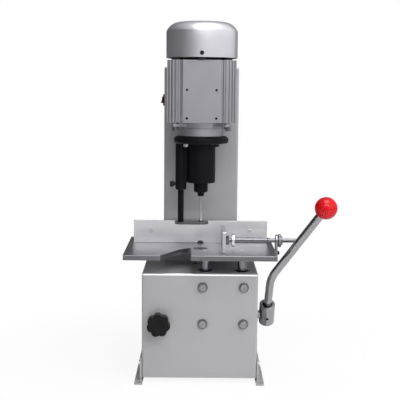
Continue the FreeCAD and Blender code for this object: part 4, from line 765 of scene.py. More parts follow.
@dataclass
class Assembly:
    """A sub-assembly of the machine, which makes its pieces and sets them on their bodies.

    The fields after the first two are its own sizes and places, in millimetres.
    """

    nodes: dict[str, Piece]
    shop: FinishShop

    def fit(self, piece: Piece, finish: Finish, body: str, node: str) -> Piece:
        """Dresses a piece and sets it on its body.

        Args:
            piece: The finished mesh.
            finish: Its finish.
            body: The body it moves with.
            node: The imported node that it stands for.

        Returns:
            The piece.
        """
        piece.data.materials.clear()
        piece.data.materials.append(self.shop.material(finish))
        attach(piece, body)
        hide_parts(node)
        LOG.info("%s, in %s, rides on %s", piece.name, finish.name, body)
        return piece

    def trim(self, piece: Piece, finish: Finish, test: Test) -> None:
        """Gives the faces of a dressed piece that pass a test a second finish."""
        piece.data.materials.append(self.shop.material(finish))
        edit(piece)
        count = pick(piece, "FACE", test)
        piece.active_material_index = len(piece.data.materials) - 1
        bpy.ops.object.material_slot_assign()
        close()
        LOG.info("%d faces of %s are in %s", count, piece.name, finish.name)

    def dress(self, finish: Finish, *names: str) -> None:
        """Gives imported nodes, whose shapes stay, their finish."""
        for name in names:
            for slot in self.nodes[name].material_slots:
                slot.material = self.shop.material(finish)
            LOG.info("%s keeps its shape, in %s", name, finish.name)


def socket_screw(name: str, head: float, tall: float, shank: float, length: float) -> Piece:
    """A socket-head screw at the origin: its head rises along +Z from its seat, its shank runs down.

    Args:
        name: The new piece's name.
        head: The head's radius, in millimetres.
        tall: The head's height.
        shank: The shank's radius.
        length: The shank's length.

    Returns:
        The screw.
    """
    edge = min(0.7, tall * 0.25)
    profile = [(0, -length), (shank - 0.3, -length), (shank, 0.3 - length), (shank, 0), (head - 0.2, 0), (head, 0.2),
               (head, tall - edge), (head - edge * 0.3, tall - edge * 0.3), (head - edge, tall), (0, tall)]
    screw = turned(name, profile, ORIGIN, 40)
    cut(screw, rod("socket", head * 0.52, tall, upright(0, 0, tall * 0.45), 6))
    return shade(screw, LATHE)


def flat_screw(name: str, head: float, tall: float, shank: float, length: float) -> Piece:
    """A countersunk screw, measured as a socket-head one is: its flush face looks up +Z, its shank runs down."""
    profile = [(0, -length), (shank, -length), (shank, -tall), (head - 0.15, -0.15), (head - 0.3, 0), (0, 0)]
    screw = turned(name, profile, ORIGIN, 40)
    cut(screw, rod("socket", head * 0.5, tall * 1.2, upright(0, 0, -tall * 0.9), 6))
    return shade(screw, LATHE)


def hexagon(name: str, corner: float, tall: float, crown: Points) -> Piece:
    """A six-sided block on the origin, its rims turned to a crown's profile."""
    block = rod(name, corner, tall, ORIGIN, 6)
    return combine("INTERSECT", block, turned("crown", crown, ORIGIN, 48))


def hexagon_bolt(name: str, corner: float, tall: float, shank: float, length: float) -> Piece:
    """A hexagon-head bolt, measured as a socket-head screw is, its head's rim chamfered."""
    flat = corner * math.cos(math.pi / 6)
    bolt = hexagon(name, corner, tall,
                   [(0, -1), (corner + 2, -1), (corner + 2, tall - 1.5), (flat - 0.3, tall), (0, tall)])
    weld(bolt, rod("shank", shank, length + 1, upright(0, 0, -length), 32))
    return shade(bolt, FLATS)


def washer(name: str, outer: float, inner: float, thick: float) -> Piece:
    """A plain washer that lies on the origin."""
    profile = [(inner, 0), (outer - 0.2, 0), (outer, 0.2), (outer, thick - 0.3), (outer - 0.3, thick), (inner, thick),
               (inner, 0)]
    return shade(turned(name, profile, ORIGIN, 48), LATHE)


# ---------------------------------------------------------------- cabinet and column


@dataclass
class Cabinet(Assembly):
    """The folded sheet box on its two foot angles, with what is fixed through its walls."""

    half: float = 115.0
    floor: float = 10.0
    top: float = 222.0
    lip: float = 13.0
    rod_opening: float = 15.5
    rack_half: float = 14.0
    rack_front: float = -18.0
    rack_back: float = 8.0
    bolt_places: tuple[Pair, ...] = ((5.5, 195.0), (86.5, 195.0), (5.5, 121.0), (86.5, 121.0))
    bolt_hole: float = 6.5
    washer_thick: float = 2.0
    slot_reach: float = 4.5
    stop_travel: float = 12.0
    shaft_opening: float = 14.0
    cover_inset: float = 3.0
    cover_screw_inset: float = 6.5
    cover_screw_heights: tuple[float, ...] = (30.0, 115.0, 200.0)
    louvres: int = 6
    louvre_low: float = 60.0
    louvre_step: float = 10.0
    louvre_half: float = 60.0
    gland_x: float = -75.0
    gland_z: float = 40.0
    foot_inner: float = 113.0
    foot_outer: float = 129.0
    foot_reach: float = 131.5
    foot_thick: float = 4.0
    foot_height: float = 48.0
    foot_hole_x: float = 120.5
    foot_hole_y: float = 124.0
    foot_screws: tuple[float, ...] = (-85.0, 0.0, 85.0)
    foot_screw_height: float = 30.0

    def build(self) -> None:
        """Builds the whole cabinet."""
        self.make_box()
        self.make_back()
        self.make_gland()
        self.make_feet()
        self.make_front_bolts()
        self.make_flange()

    def make_box(self) -> None:
        """Bends the sheet box, cuts its openings and paints a highlight on its top front bend."""
        half, top, below, over = self.half, self.top, self.floor - 5, self.top - 9
        shell = folded("cabinet_sheet", (-half, -half, self.floor), (half, half, top), BEND, 6)
        cut(shell,
            folded("inside", (SHEET - half, SHEET - half, below), (half - SHEET, half - SHEET, top - SHEET),
                   INNER_BEND, 3),
            box("opening", (self.lip - half, half - SHEET - 1, below), (half - self.lip, half + 1, top - self.lip)),
            box("rack_slot", (-self.rack_half, self.rack_front, over), (self.rack_half, self.rack_back, top + 5)),
            rod("wire_hole", WIRE_RADIUS, 14, upright(0, WIRE_Y, over), 40),
            *[rod("rod_hole", self.rod_opening, 14, upright(x, ROD_Y, over), 64) for x in ROD_X],
            *[rod("bolt_hole", self.bolt_hole, 10, aimed(x, 5 - half, z, FRONT), 32) for x, z in self.bolt_places],
            self.knob_slot(),
            rod("shaft_hole", self.shaft_opening, 10, aimed(half - 5, SHAFT_Y, SHAFT_Z, RIGHT), 48))
        soften(shell, 0.35, 2, 50)
        self.fit(shell, POWDER_COAT, "base", "cabinet_shell")
        # The top front bend takes the pale coat as a painted highlight.
        self.trim(shell, BEND_HIGHLIGHT_COAT, lambda centre, normal: centre.z > top - BEND - 0.1
                  and centre.y < BEND + 0.1 - half and normal.y < -0.55 and normal.z > 0.1)

    def knob_slot(self) -> Piece:
        """The cutter for the upright slot behind the star knob."""
        reach = self.slot_reach
        outline = rounded((KNOB_X - reach, KNOB_Z - reach), (KNOB_X + reach, KNOB_Z + self.stop_travel + reach),
                          reach - 0.1)
        return plate("knob_slot", outline, "Y", -self.half - 1, 5 - self.half)

    def make_back(self) -> None:
        """Makes the louvred back cover and the screws of both back covers."""
        half, inset, wide = self.half, self.cover_inset, self.louvre_half
        outline = rounded((inset - half, self.floor + 2), (half - inset, self.top - 3), COVER_CORNER)
        back = plate("louvred_back", outline, "Y", half, half + COVER)
        sills = [self.louvre_low + self.louvre_step * index for index in range(self.louvres)]
        cut(back, *[box("slot", (-wide, half - 1, sill), (wide, half + 5, sill + 4)) for sill in sills])
        across = half - self.cover_screw_inset
        places = [(side * across, z) for side in SIDES for z in self.cover_screw_heights]
        cut(back, rod("gland_hole", 8.1, 8, aimed(self.gland_x, half - 2, self.gland_z, BACK), 40),
            *[rod("hole", 2, 8, aimed(x, half - 2, z, BACK), 20) for x, z in places])
        soften(back, 0.3, 2, 40)
        self.fit(back, POWDER_COAT, "base", "cabinet_back_cover")
        hoods = gather("louvre_hoods", [self.louvre_hood(sill) for sill in sills])
        self.fit(hoods, POWDER_COAT, "base", "cabinet_back_cover")
        column = Column(self.nodes, self.shop)
        frames = [aimed(x, half + COVER, z, BACK) for x, z in places]
        frames += [aimed(x, column.back + COVER, z, BACK) for x, z in column.cover_screws()]
        screws = copies(socket_screw("back_screw", 3.5, 2.2, 2, 4.5), frames)
        self.fit(gather("back_cover_screws", screws), ZINC, "base", "cover_screws")

    def louvre_hood(self, sill: float) -> Piece:
        """A pressed hood over one air slot, open below."""
        start, end = self.half + COVER, self.louvre_half + 1
        outline = [(start - 0.2, sill + 6.6), (start + 0.9, sill + 6.2), (start + 2.6, sill + 4.6),
                   (start + 3.6, sill + 2.2), (start + 3.8, sill), (start + 3.0, sill), (start + 2.7, sill + 2),
                   (start + 1.8, sill + 3.9), (start + 0.4, sill + 5.2), (start - 0.2, sill + 5.4)]
        hood = plate("hood", outline, "X", -end, end)
        cheek = [*outline[:5], (start - 0.2, sill)]
        weld(hood, *[plate("cheek", cheek, "X", side * end - 0.4, side * end + 0.4) for side in SIDES])
        return shade(hood, 40)

    def make_gland(self) -> None:
        """Turns the gland of the mains lead: a sleeve with a domed end and a six-sided nut on it."""
        sleeve = turned("gland_sleeve", [(3.2, -12), (8, -12), (8, 0), (9.5, 0), (9.5, 5.5), (8.6, 6.2), (8.6, 8),
                                         (8.2, 11.5), (6.6, 15), (5.2, 16), (3.6, 16), (3.2, 15.6), (3.2, -12)],
                        ORIGIN, 48)
        nut = rod("gland_nut", 11, 4.6, upright(0, 0, 0.2), 6)
        cut(nut, rod("bore", 9, 8, upright(0, 0, -2), 40))
        soften(nut, 0.5, 2)
        gland = gather("lead_gland", [shade(sleeve, LATHE), nut])
        place(gland, aimed(self.gland_x, self.half + COVER, self.gland_z, BACK))
        self.fit(gland, BAKELITE, "base", "cable_gland")

    def make_feet(self) -> None:
        """Makes the two foot angles and the screws that hold them."""
        half, reach = self.half, self.foot_reach
        for side, name in zip(SIDES, ("left", "right")):
            outline = rounded((side * self.foot_inner, -reach), (side * self.foot_outer, reach), 1.0, 3.5, 3.5, 1.0)
            foot = plate(f"foot_{name}", outline, "Z", 0, self.foot_thick)
            near, far = sorted((side * half, side * (half + self.foot_thick)))
            weld(foot, box("web", (near, -half, 1), (far, half, self.foot_height)))
            cut(foot, *[rod("hole", 4.25, 8, upright(side * self.foot_hole_x, end * self.foot_hole_y, -2), 32)
                        for end in SIDES],
                *[rod("hole", 3, 10, aimed(near - 2, y, self.foot_screw_height, RIGHT), 24)
                  for y in self.foot_screws])
            soften(foot, 0.6, 3)
            self.fit(foot, POWDER_COAT, "base", f"foot_angle_{name}")
        frames = [aimed(side * (half + self.foot_thick), y, self.foot_screw_height, (side, 0, 0))
                  for side in SIDES for y in self.foot_screws]
        screws = copies(socket_screw("foot_screw", 5, 4, 3, 9), frames)
        self.fit(gather("foot_cap_screws", screws), ZINC, "base", "foot_screws")

    def make_front_bolts(self) -> None:
        """Makes the four hexagon bolts and dark washers on the front, and the locating bolt inside."""
        walls, seats = ([aimed(x, -self.half - out, z, FRONT) for x, z in self.bolt_places]
                        for out in (0, self.washer_thick))
        washers = gather("front_washers", copies(washer("washer", 10, 5.95, self.washer_thick), walls))
        self.fit(washers, DULL_ZINC, "base", "guide_block_bolts")
        bolt = hexagon_bolt("front_bolt", 7.6, 5.4, 5.85, 22)
        cut(bolt, turned("dimple", [(0, 4.6), (2.2, 4.9), (3.4, 5.5), (0, 5.5), (0, 4.6)], ORIGIN, 40))
        shade(bolt, FLATS)
        inner = socket_screw("locating_bolt", 4, 0.8, 3.9, 13.7)
        place(inner, aimed(0, -50.3, 94, BACK))
        self.fit(gather("front_bolts", [*copies(bolt, seats), inner]), HEAD_ZINC, "base", "guide_block_bolts")

    def make_flange(self) -> None:
        """Turns the flange round the lever shaft."""
        profile = [(8.05, -7), (14, -7), (14, 3), (17.6, 3), (18, 3.4), (18, 5.8), (17.2, 6.6), (16.2, 6.8), (9, 6.8),
                   (8.05, 6.2), (8.05, -7)]
        flange = turned("shaft_collar", profile, aimed(self.half - SHEET, SHAFT_Y, SHAFT_Z, RIGHT), 64)
        self.fit(shade(flange, LATHE), MACHINED, "base", "shaft_flange")


@dataclass
class Column(Assembly):
    """The folded column, its back cover and the switch in its side."""

    half: float = 77.0
    front: float = 12.0
    back: float = 112.0
    low: float = 222.0
    top: float = 628.0
    foot_plate: float = 5.0
    lip: float = 12.0
    cover_inset: float = 3.0
    cover_screw_inset: float = 6.0
    cover_screw_heights: tuple[float, ...] = (250.0, 425.0, 600.0)
    switch_y: float = 45.0
    switch_z: float = 560.0
    switch_bezel: float = 3.6
    switch_pivot: float = -78.5

    def build(self) -> None:
        """Builds the column and what it carries."""
        self.make_shell()
        self.make_cover()
        self.make_switch_frame()
        self.make_rocker()
        self.dress(ZINC, "column_bolts")
        self.dress(CAPACITOR, "run_capacitor")

    def cover_screws(self) -> list[Pair]:
        """The places of the back cover's six screws."""
        return [(side * (self.half - self.cover_screw_inset), z) for side in SIDES for z in self.cover_screw_heights]

    def make_shell(self) -> None:
        """Bends the column and cuts its openings."""
        half, lip, low, high = self.half, self.lip, self.low + self.foot_plate, self.top - SHEET
        y, z = self.switch_y, self.switch_z
        shell = folded("column_sheet", (-half, self.front, self.low), (half, self.back, self.top), BEND, 6)
        cut(shell,
            folded("inside", (SHEET - half, self.front + SHEET, low), (half - SHEET, self.back - SHEET, high),
                   INNER_BEND, 3),
            box("opening", (lip - half, self.back - 5, low + lip), (half - lip, self.back + 1, high - lip)),
            rod("wire_hole", WIRE_RADIUS, 12, upright(0, WIRE_Y, self.low - 2), 40),
            box("switch_hole", (-half - 1, y - 6.5, z - 9.7), (6 - half, y + 6.5, z + 9.7)),
            *[rod("bolt_hole", 4.5, 8, aimed(x, self.front - 2, z, BACK), 24) for x, z in HEAD_BOLTS])
        soften(shell, 0.35, 2, 50)
        self.fit(shell, COLUMN_COAT, "base", "column_shell")

    def make_cover(self) -> None:
        """Makes the flat cover behind the column."""
        half = self.half - self.cover_inset
        outline = rounded((-half, self.low + 4), (half, self.top - 4), COVER_CORNER)
        cover = plate("column_cover", outline, "Y", self.back, self.back + COVER)
        cut(cover, *[rod("hole", 2, 8, aimed(x, self.back - 2, z, BACK), 20) for x, z in self.cover_screws()])
        soften(cover, 0.3, 2, 40)
        self.fit(cover, COLUMN_COAT, "base", "column_back_cover")

    def make_switch_frame(self) -> None:
        """Makes the rocker switch's rimmed frame, with its barrel, well and pin hole."""
        wall, y, z = -self.half, self.switch_y, self.switch_z
        frame = plate("switch_frame", rounded((y - 9, z - 12), (y + 9, z + 12), 2.2), "X", wall - self.switch_bezel,
                      wall)
        weld(frame, box("barrel", (wall - 0.5, y - 6.4, z - 9.6), (wall + 20, y + 6.4, z + 9.6)))
        cut(frame, box("well", (wall - 5, y - 5.4, z - 8.8), (wall + 9, y + 5.4, z + 8.8)),
            rod("pin_hole", 1.25, 12.8, aimed(self.switch_pivot, y - 6.4, z, BACK), 20))
        soften(frame, 0.5, 3)
        self.fit(frame, BAKELITE, "base", "switch_housing")

    def make_rocker(self) -> None:
        """Makes the dished rocker and its pin."""
        pivot, y, z = self.switch_pivot, self.switch_y, self.switch_z
        outline = [(pivot + 1.5, z - 5.5), (pivot + 1.5, z + 5.5), (pivot - 5, z + 7), (pivot - 4.6, z + 3.4),
                   (pivot - 5.1, z - 0.6), (pivot - 6.3, z - 4.6), (pivot - 7, z - 7)]
        rocker = plate("switch_paddle", outline, "Y", y - 5, y + 5)
        weld(rocker, rod("pin", 1.2, 12.6, aimed(pivot, y - 6.3, z, BACK), 20))
        soften(rocker, 0.45, 3, 30)
        self.fit(rocker, ROCKER_RED, "rocker", "switch_rocker")


# ---------------------------------------------------------------- head, spindle and presser


@dataclass
class Head(Assembly):
    """The head casting on the column, and the screws under its flange."""

    flange_low: float = 476.5
    flange_bolt_x: float = 30.0
    flange_bolt_y: float = 24.0
    voxel: float = 1.0
    presser_bore: float = 6.4
    bore_low: float = 380.0
    bore_high: float = 480.2
    stay_y: float = 15.0

    def build(self) -> None:
        """Builds the head."""
        self.make_casting()
        self.make_screws()

    def make_casting(self) -> None:
        """Casts the head and bores it for the presser's rod."""
        casting = recast(self.nodes["head_casting"], "head_body")
        apply(casting, "REMESH", mode="VOXEL", voxel_size=self.voxel * MM)
        apply(casting, "SMOOTH", factor=0.5, iterations=5)
        cut(casting, rod("presser_bore", self.presser_bore, self.bore_high - self.bore_low,
                         upright(PRESSER_X, DRILL_Y, self.bore_low), 64))
        take(casting)
        bpy.ops.object.shade_smooth_by_angle(angle=math.radians(65))
        self.fit(casting, CAST_ENAMEL, "base", "head_casting")

    def make_screws(self) -> None:
        """Fits the four screws under the flange, one of them dark, and the four into the column."""
        frames = [aimed(sx * self.flange_bolt_x, DRILL_Y + sy * self.flange_bolt_y, self.flange_low, DOWN)
                  for sx, sy in ((-1, -1), (-1, 1), (1, 1), (1, -1))]
        *outer, dark = copies(socket_screw("flange_screw", 5, 6, 3, 20), frames)
        dark.name = "dark_flange_screw"
        self.fit(dark, BLACK_OXIDE, "base", "head_bolts")
        inner = copies(socket_screw("stay_screw", 6.5, 8, 4, 18),
                       [aimed(x, self.stay_y, z, BACK) for x, z in HEAD_BOLTS])
        self.fit(gather("head_screws", [*outer, *inner]), ZINC, "base", "head_bolts")


@dataclass
class Spindle(Assembly):
    """The chuck with its hollow bit, and what turns above them."""

    key_height: float = 388.7

    def build(self) -> None:
        """Turns the chuck and the bit."""
        here = upright(0, DRILL_Y)
        profile = [(2.75, 370.5), (5.5, 370.5), (6.2, 370.8), (6.5, 371.5), (6.5, 376), (7.2, 376.6), (12.7, 379),
                   (13.6, 379.5), (14.2, 380.6), (14.2, 382.4), (13.7, 382.8), (13.7, 383.6), (14.2, 384),
                   (14.2, 394.4), (13.7, 394.8), (13.7, 395.6), (14.2, 396), (14.2, 396.9), (13.7, 397.4), (6, 397.4),
                   (6, 384), (2.75, 384), (2.75, 370.5)]
        chuck = turned("chuck_body", profile, here, 72)
        cut(chuck, rod("key_hole", 2.2, 40, aimed(-20, DRILL_Y, self.key_height, RIGHT), 24))
        self.fit(shade(chuck, LATHE), PRESSER_BLACK, "spindle", "drill_chuck")
        wall = [(2.2, 314.3), (2.35, 314.3), (2.75, 315.8), (2.75, 383.9), (1.9, 383.9), (1.9, 316.5), (2.2, 314.3)]
        self.fit(shade(turned("hollow_bit", wall, here, 40), LATHE), BIT_STEEL, "spindle", "drill_bit")
        self.dress(MACHINED, "spindle", "rotor", "ball_bearings")
        self.dress(BAKELITE, "cooling_fan")


@dataclass
class Presser(Assembly):
    """The presser rod, its bar round the bit and the knurled screw that clamps the rod."""

    radius: float = 6.0
    low: float = 314.1
    thick: float = 5.0
    reach: float = 14.0
    left: float = -52.0
    right: float = 16.0
    bit_hole: float = 5.5
    rod_top: float = 430.0
    screw_z: float = 394.5
    screw_reach: float = 10.8
    boss_radius: float = 11.0
    teeth: int = 28

    def build(self) -> None:
        """Makes the presser's three pieces."""
        self.make_rod()
        self.make_bar()
        self.make_screw()

    def make_rod(self) -> None:
        """Turns the upright rod."""
        low, high = self.low + self.thick, self.rod_top
        profile = [(0, low), (self.radius, low), (self.radius, high - 1), (self.radius - 1, high), (0, high)]
        stem = turned("presser_stem", profile, upright(PRESSER_X, DRILL_Y), 48)
        self.fit(shade(stem, LATHE), PRESSER_BLACK, "presser", "presser_rod")

    def make_bar(self) -> None:
        """Cuts the round-ended bar and its hole for the bit."""
        reach = self.reach
        outline = rounded((self.left, DRILL_Y - reach), (self.right, DRILL_Y + reach), reach - 0.01, steps=12)
        bar = plate("presser_bar", outline, "Z", self.low, self.low + self.thick)
        cut(bar, rod("bit_hole", self.bit_hole, self.thick + 4, upright(0, DRILL_Y, self.low - 2), 40))
        soften(bar, 0.7, 3)
        self.fit(bar, GAUGE_STEEL, "presser", "presser_foot")

    def make_screw(self) -> None:
        """Turns the knurled clamp screw."""
        reach = self.screw_reach
        profile = [(0, 0.5), (3.8, 0.5), (4.4, 0), (5.2, 0), (5.8, 0.4), (6, 0.9), (6, 6.1), (5.8, 6.6), (5.2, 7),
                   (3.6, 7), (3.6, reach - 0.5), (3, reach - 0.5), (3, reach + 4.9), (0, reach + 4.9)]
        screw = turned("clamp_thumb_screw", profile, ORIGIN, 64)
        tooth = rod("knurl", 0.4, 8, upright(6.1, 0, -0.5), 8)
        cut(screw, gather("knurls", copies(tooth, around(self.teeth))))
        place(shade(screw, LATHE), aimed(PRESSER_X - self.boss_radius - reach, DRILL_Y, self.screw_z, RIGHT))
        self.fit(screw, BLACK_OXIDE, "clamp_screw", "presser_clamp_screw")


# ---------------------------------------------------------------- motor


@dataclass
class Motor(Assembly):
    """The finned motor: its frame and end shields, and the cowl over its fan."""

    cowl_radius: float = 70.0
    wall: float = 1.5
    rim: float = 643.0
    crown: float = 715.0
    knee: float = 44.0
    dome_base: float = 680.8
    dome_run: float = 28.7
    dome_rise: float = 31.2
    dome_start: float = 25.0
    dome_steps: int = 14
    crown_radii: tuple[float, ...] = (38.0, 32.0, 26.0, 20.0, 14.0, 8.0, 3.0, 0.0)
    slots: int = 16
    slot_start: float = 12.0
    slot_end: float = 38.0
    slot_half: float = 2.0
    screws: int = 3
    screw_height: float = 651.0
    frame_low: float = 518.5
    frame_high: float = 638.0
    fin_floor: tuple[Pair, ...] = (
        (36.0, 61.0), (42.4, 58.0), (43.6, 60.4), (46.4, 59.2), (47.4, 60.6), (53.2, 58.2), (54.2, 60.1), (59.2, 56.8),
        (60.2, 58.5), (64.0, 55.0), (65.0, 56.0), (66.2, 51.5), (66.2, 36.0), (36.0, 36.0))
    pad_front: float = 62.0
    hole_x: float = 28.2
    hole_heights: Pair = (527.0, 581.0)
    hole_reach: float = 2.6
    bolt_offset: float = 51.0

    def build(self) -> None:
        """Builds the motor's castings and its cowl."""
        self.make_frame()
        self.make_shields()
        self.dress(DULL_ZINC, "motor_tie_bolts")
        self.dress(MACHINED, "stator")
        self.make_cowl()
        screws = copies(socket_screw("cowl_screw", 4, 2.5, 2, 9), self.screw_frames(self.cowl_radius))
        self.fit(gather("cowl_side_screws", screws), BLACK_OXIDE, "base", "cowl_screws")

    def make_frame(self) -> None:
        """Casts the finned frame and the floors between its fins, and paints shade inside its tapped holes."""
        frame = recast(self.nodes["motor_frame"], "finned_frame")
        low, high = self.frame_low + 0.4, self.frame_high - 0.4
        weld(frame, *[plate("fin_floor", [(side * x, DRILL_Y + end * y) for x, y in self.fin_floor], "Z", low, high)
                      for side in SIDES for end in SIDES])
        soften(frame, 0.9, 3, 30)
        self.fit(frame, MOTOR_PAINT, "base", "motor_frame")
        # Black in the tapped holes is painted shade.
        self.trim(frame, BLACK_OXIDE, self.is_shaded_hole)

    def is_shaded_hole(self, centre: Vector, normal: Vector) -> bool:
        """Tells the faces inside the pads' tapped holes, which take painted shade."""
        near = any((abs(centre.x) - self.hole_x) ** 2 + (centre.z - height) ** 2 < self.hole_reach ** 2
                   for height in self.hole_heights)
        return near and abs(normal.z) < 0.99 and abs(centre.y - DRILL_Y) < self.pad_front - 0.8

    def make_shields(self) -> None:
        """Casts the two end shields, the upper one painted near black as shade inside the cowl; the lower one's ears
        stand clear of the frame.
        """
        low, high, offset = self.frame_low - 2.6, self.frame_low + 1, self.bolt_offset
        ring = [(4.4, low), (9, low), (9, high), (4.4, high), (4.4, low)]
        lower = recast(self.nodes["motor_lower_shield"], "lower_end_shield")
        cut(lower, *[turned("gap", ring, upright(side * offset, DRILL_Y + end * offset), 32)
                     for side in SIDES for end in SIDES])
        upper = recast(self.nodes["motor_upper_shield"], "upper_end_shield")
        for shield, finish, node in ((lower, MOTOR_PAINT, "motor_lower_shield"),
                                     (upper, SHIELD_SHADE, "motor_upper_shield")):
            soften(shield, 0.5, 2, 30)
            self.fit(shield, finish, "base", node)

    def dome(self, inset: float) -> list[Pair]:
        """The cowl's section from its rim to its crown.

        Args:
            inset: How far inside the outer face it lies, in millimetres.

        Returns:
            Radius and height of each point, from the rim up.
        """
        outer, start = self.cowl_radius - inset, math.radians(self.dome_start)
        shoulder = self.dome_base + self.dome_rise * math.sin(start)
        points = [(outer, self.rim), (outer, shoulder - 16), (outer, shoulder - inset / 3)]
        for step in range(1, self.dome_steps + 1):
            swing = start + (math.pi / 2 - start) * step / self.dome_steps
            points.append((self.knee + (self.dome_run - inset) * math.cos(swing),
                           self.dome_base + (self.dome_rise - inset) * math.sin(swing)))
        level = self.dome_base + self.dome_rise
        half_rise = (self.crown - level) / 2
        points += [(radius, level + half_rise * (1 + math.cos(math.pi * radius / self.knee)) - inset)
                   for radius in self.crown_radii]
        return points

    def screw_frames(self, distance: float) -> list[Matrix]:
        """Frames at the cowl's side screws, at a distance from the axis, the first one in front."""
        angles = [math.tau * index / self.screws - math.pi / 2 for index in range(self.screws)]
        headings = [(math.cos(angle), math.sin(angle)) for angle in angles]
        return [aimed(distance * x, DRILL_Y + distance * y, self.screw_height, (x, y, 0)) for x, y in headings]

    def make_cowl(self) -> None:
        """Spins the cowl's thin wall, cuts its air slots and screw holes, and paints shade on its inner faces."""
        outside, inside = self.dome(0), self.dome(self.wall)
        profile = [*outside, *reversed(inside), (self.cowl_radius - self.wall * 0.75, self.rim - 0.2), outside[0]]
        cowl = turned("fan_cover", profile, upright(0, DRILL_Y), 128)
        outline = rounded((self.slot_start, -self.slot_half), (self.slot_end, self.slot_half), self.slot_half - 0.1)
        cutter = plate("air_slot", outline, "Z", self.crown - 15, self.crown + 5)
        turns = [upright(0, DRILL_Y) @ turn for turn in around(self.slots)]
        cut(cowl, gather("air_slots", copies(cutter, turns)))
        cut(cowl, *[rod("hole", 2.1, 12, frame, 24) for frame in self.screw_frames(self.cowl_radius - 8)])
        self.fit(shade(cowl, 40), COWL_PAINT, "base", "fan_cowl")
        # The inner faces are painted near black as shade.
        self.trim(cowl, COWL_INNER_SHADE, self.is_shaded_inside)

    def is_shaded_inside(self, centre: Vector, normal: Vector) -> bool:
        """Tells the cowl's inner faces, which look at its axis or down and take painted shade."""
        out = Vector((centre.x, centre.y - DRILL_Y, 0))
        inner = out.length < self.cowl_radius - self.wall * 0.6
        return inner and (normal.z < -0.3 or (normal.x * out.x + normal.y * out.y < 0 and normal.z < 0.3))


# ---------------------------------------------------------------- table, fence and side stop


def on_gauge(x: float) -> Matrix:
    """A frame on the side stop's axis, facing right."""
    return aimed(x, GAUGE_Y, GAUGE_Z, RIGHT)


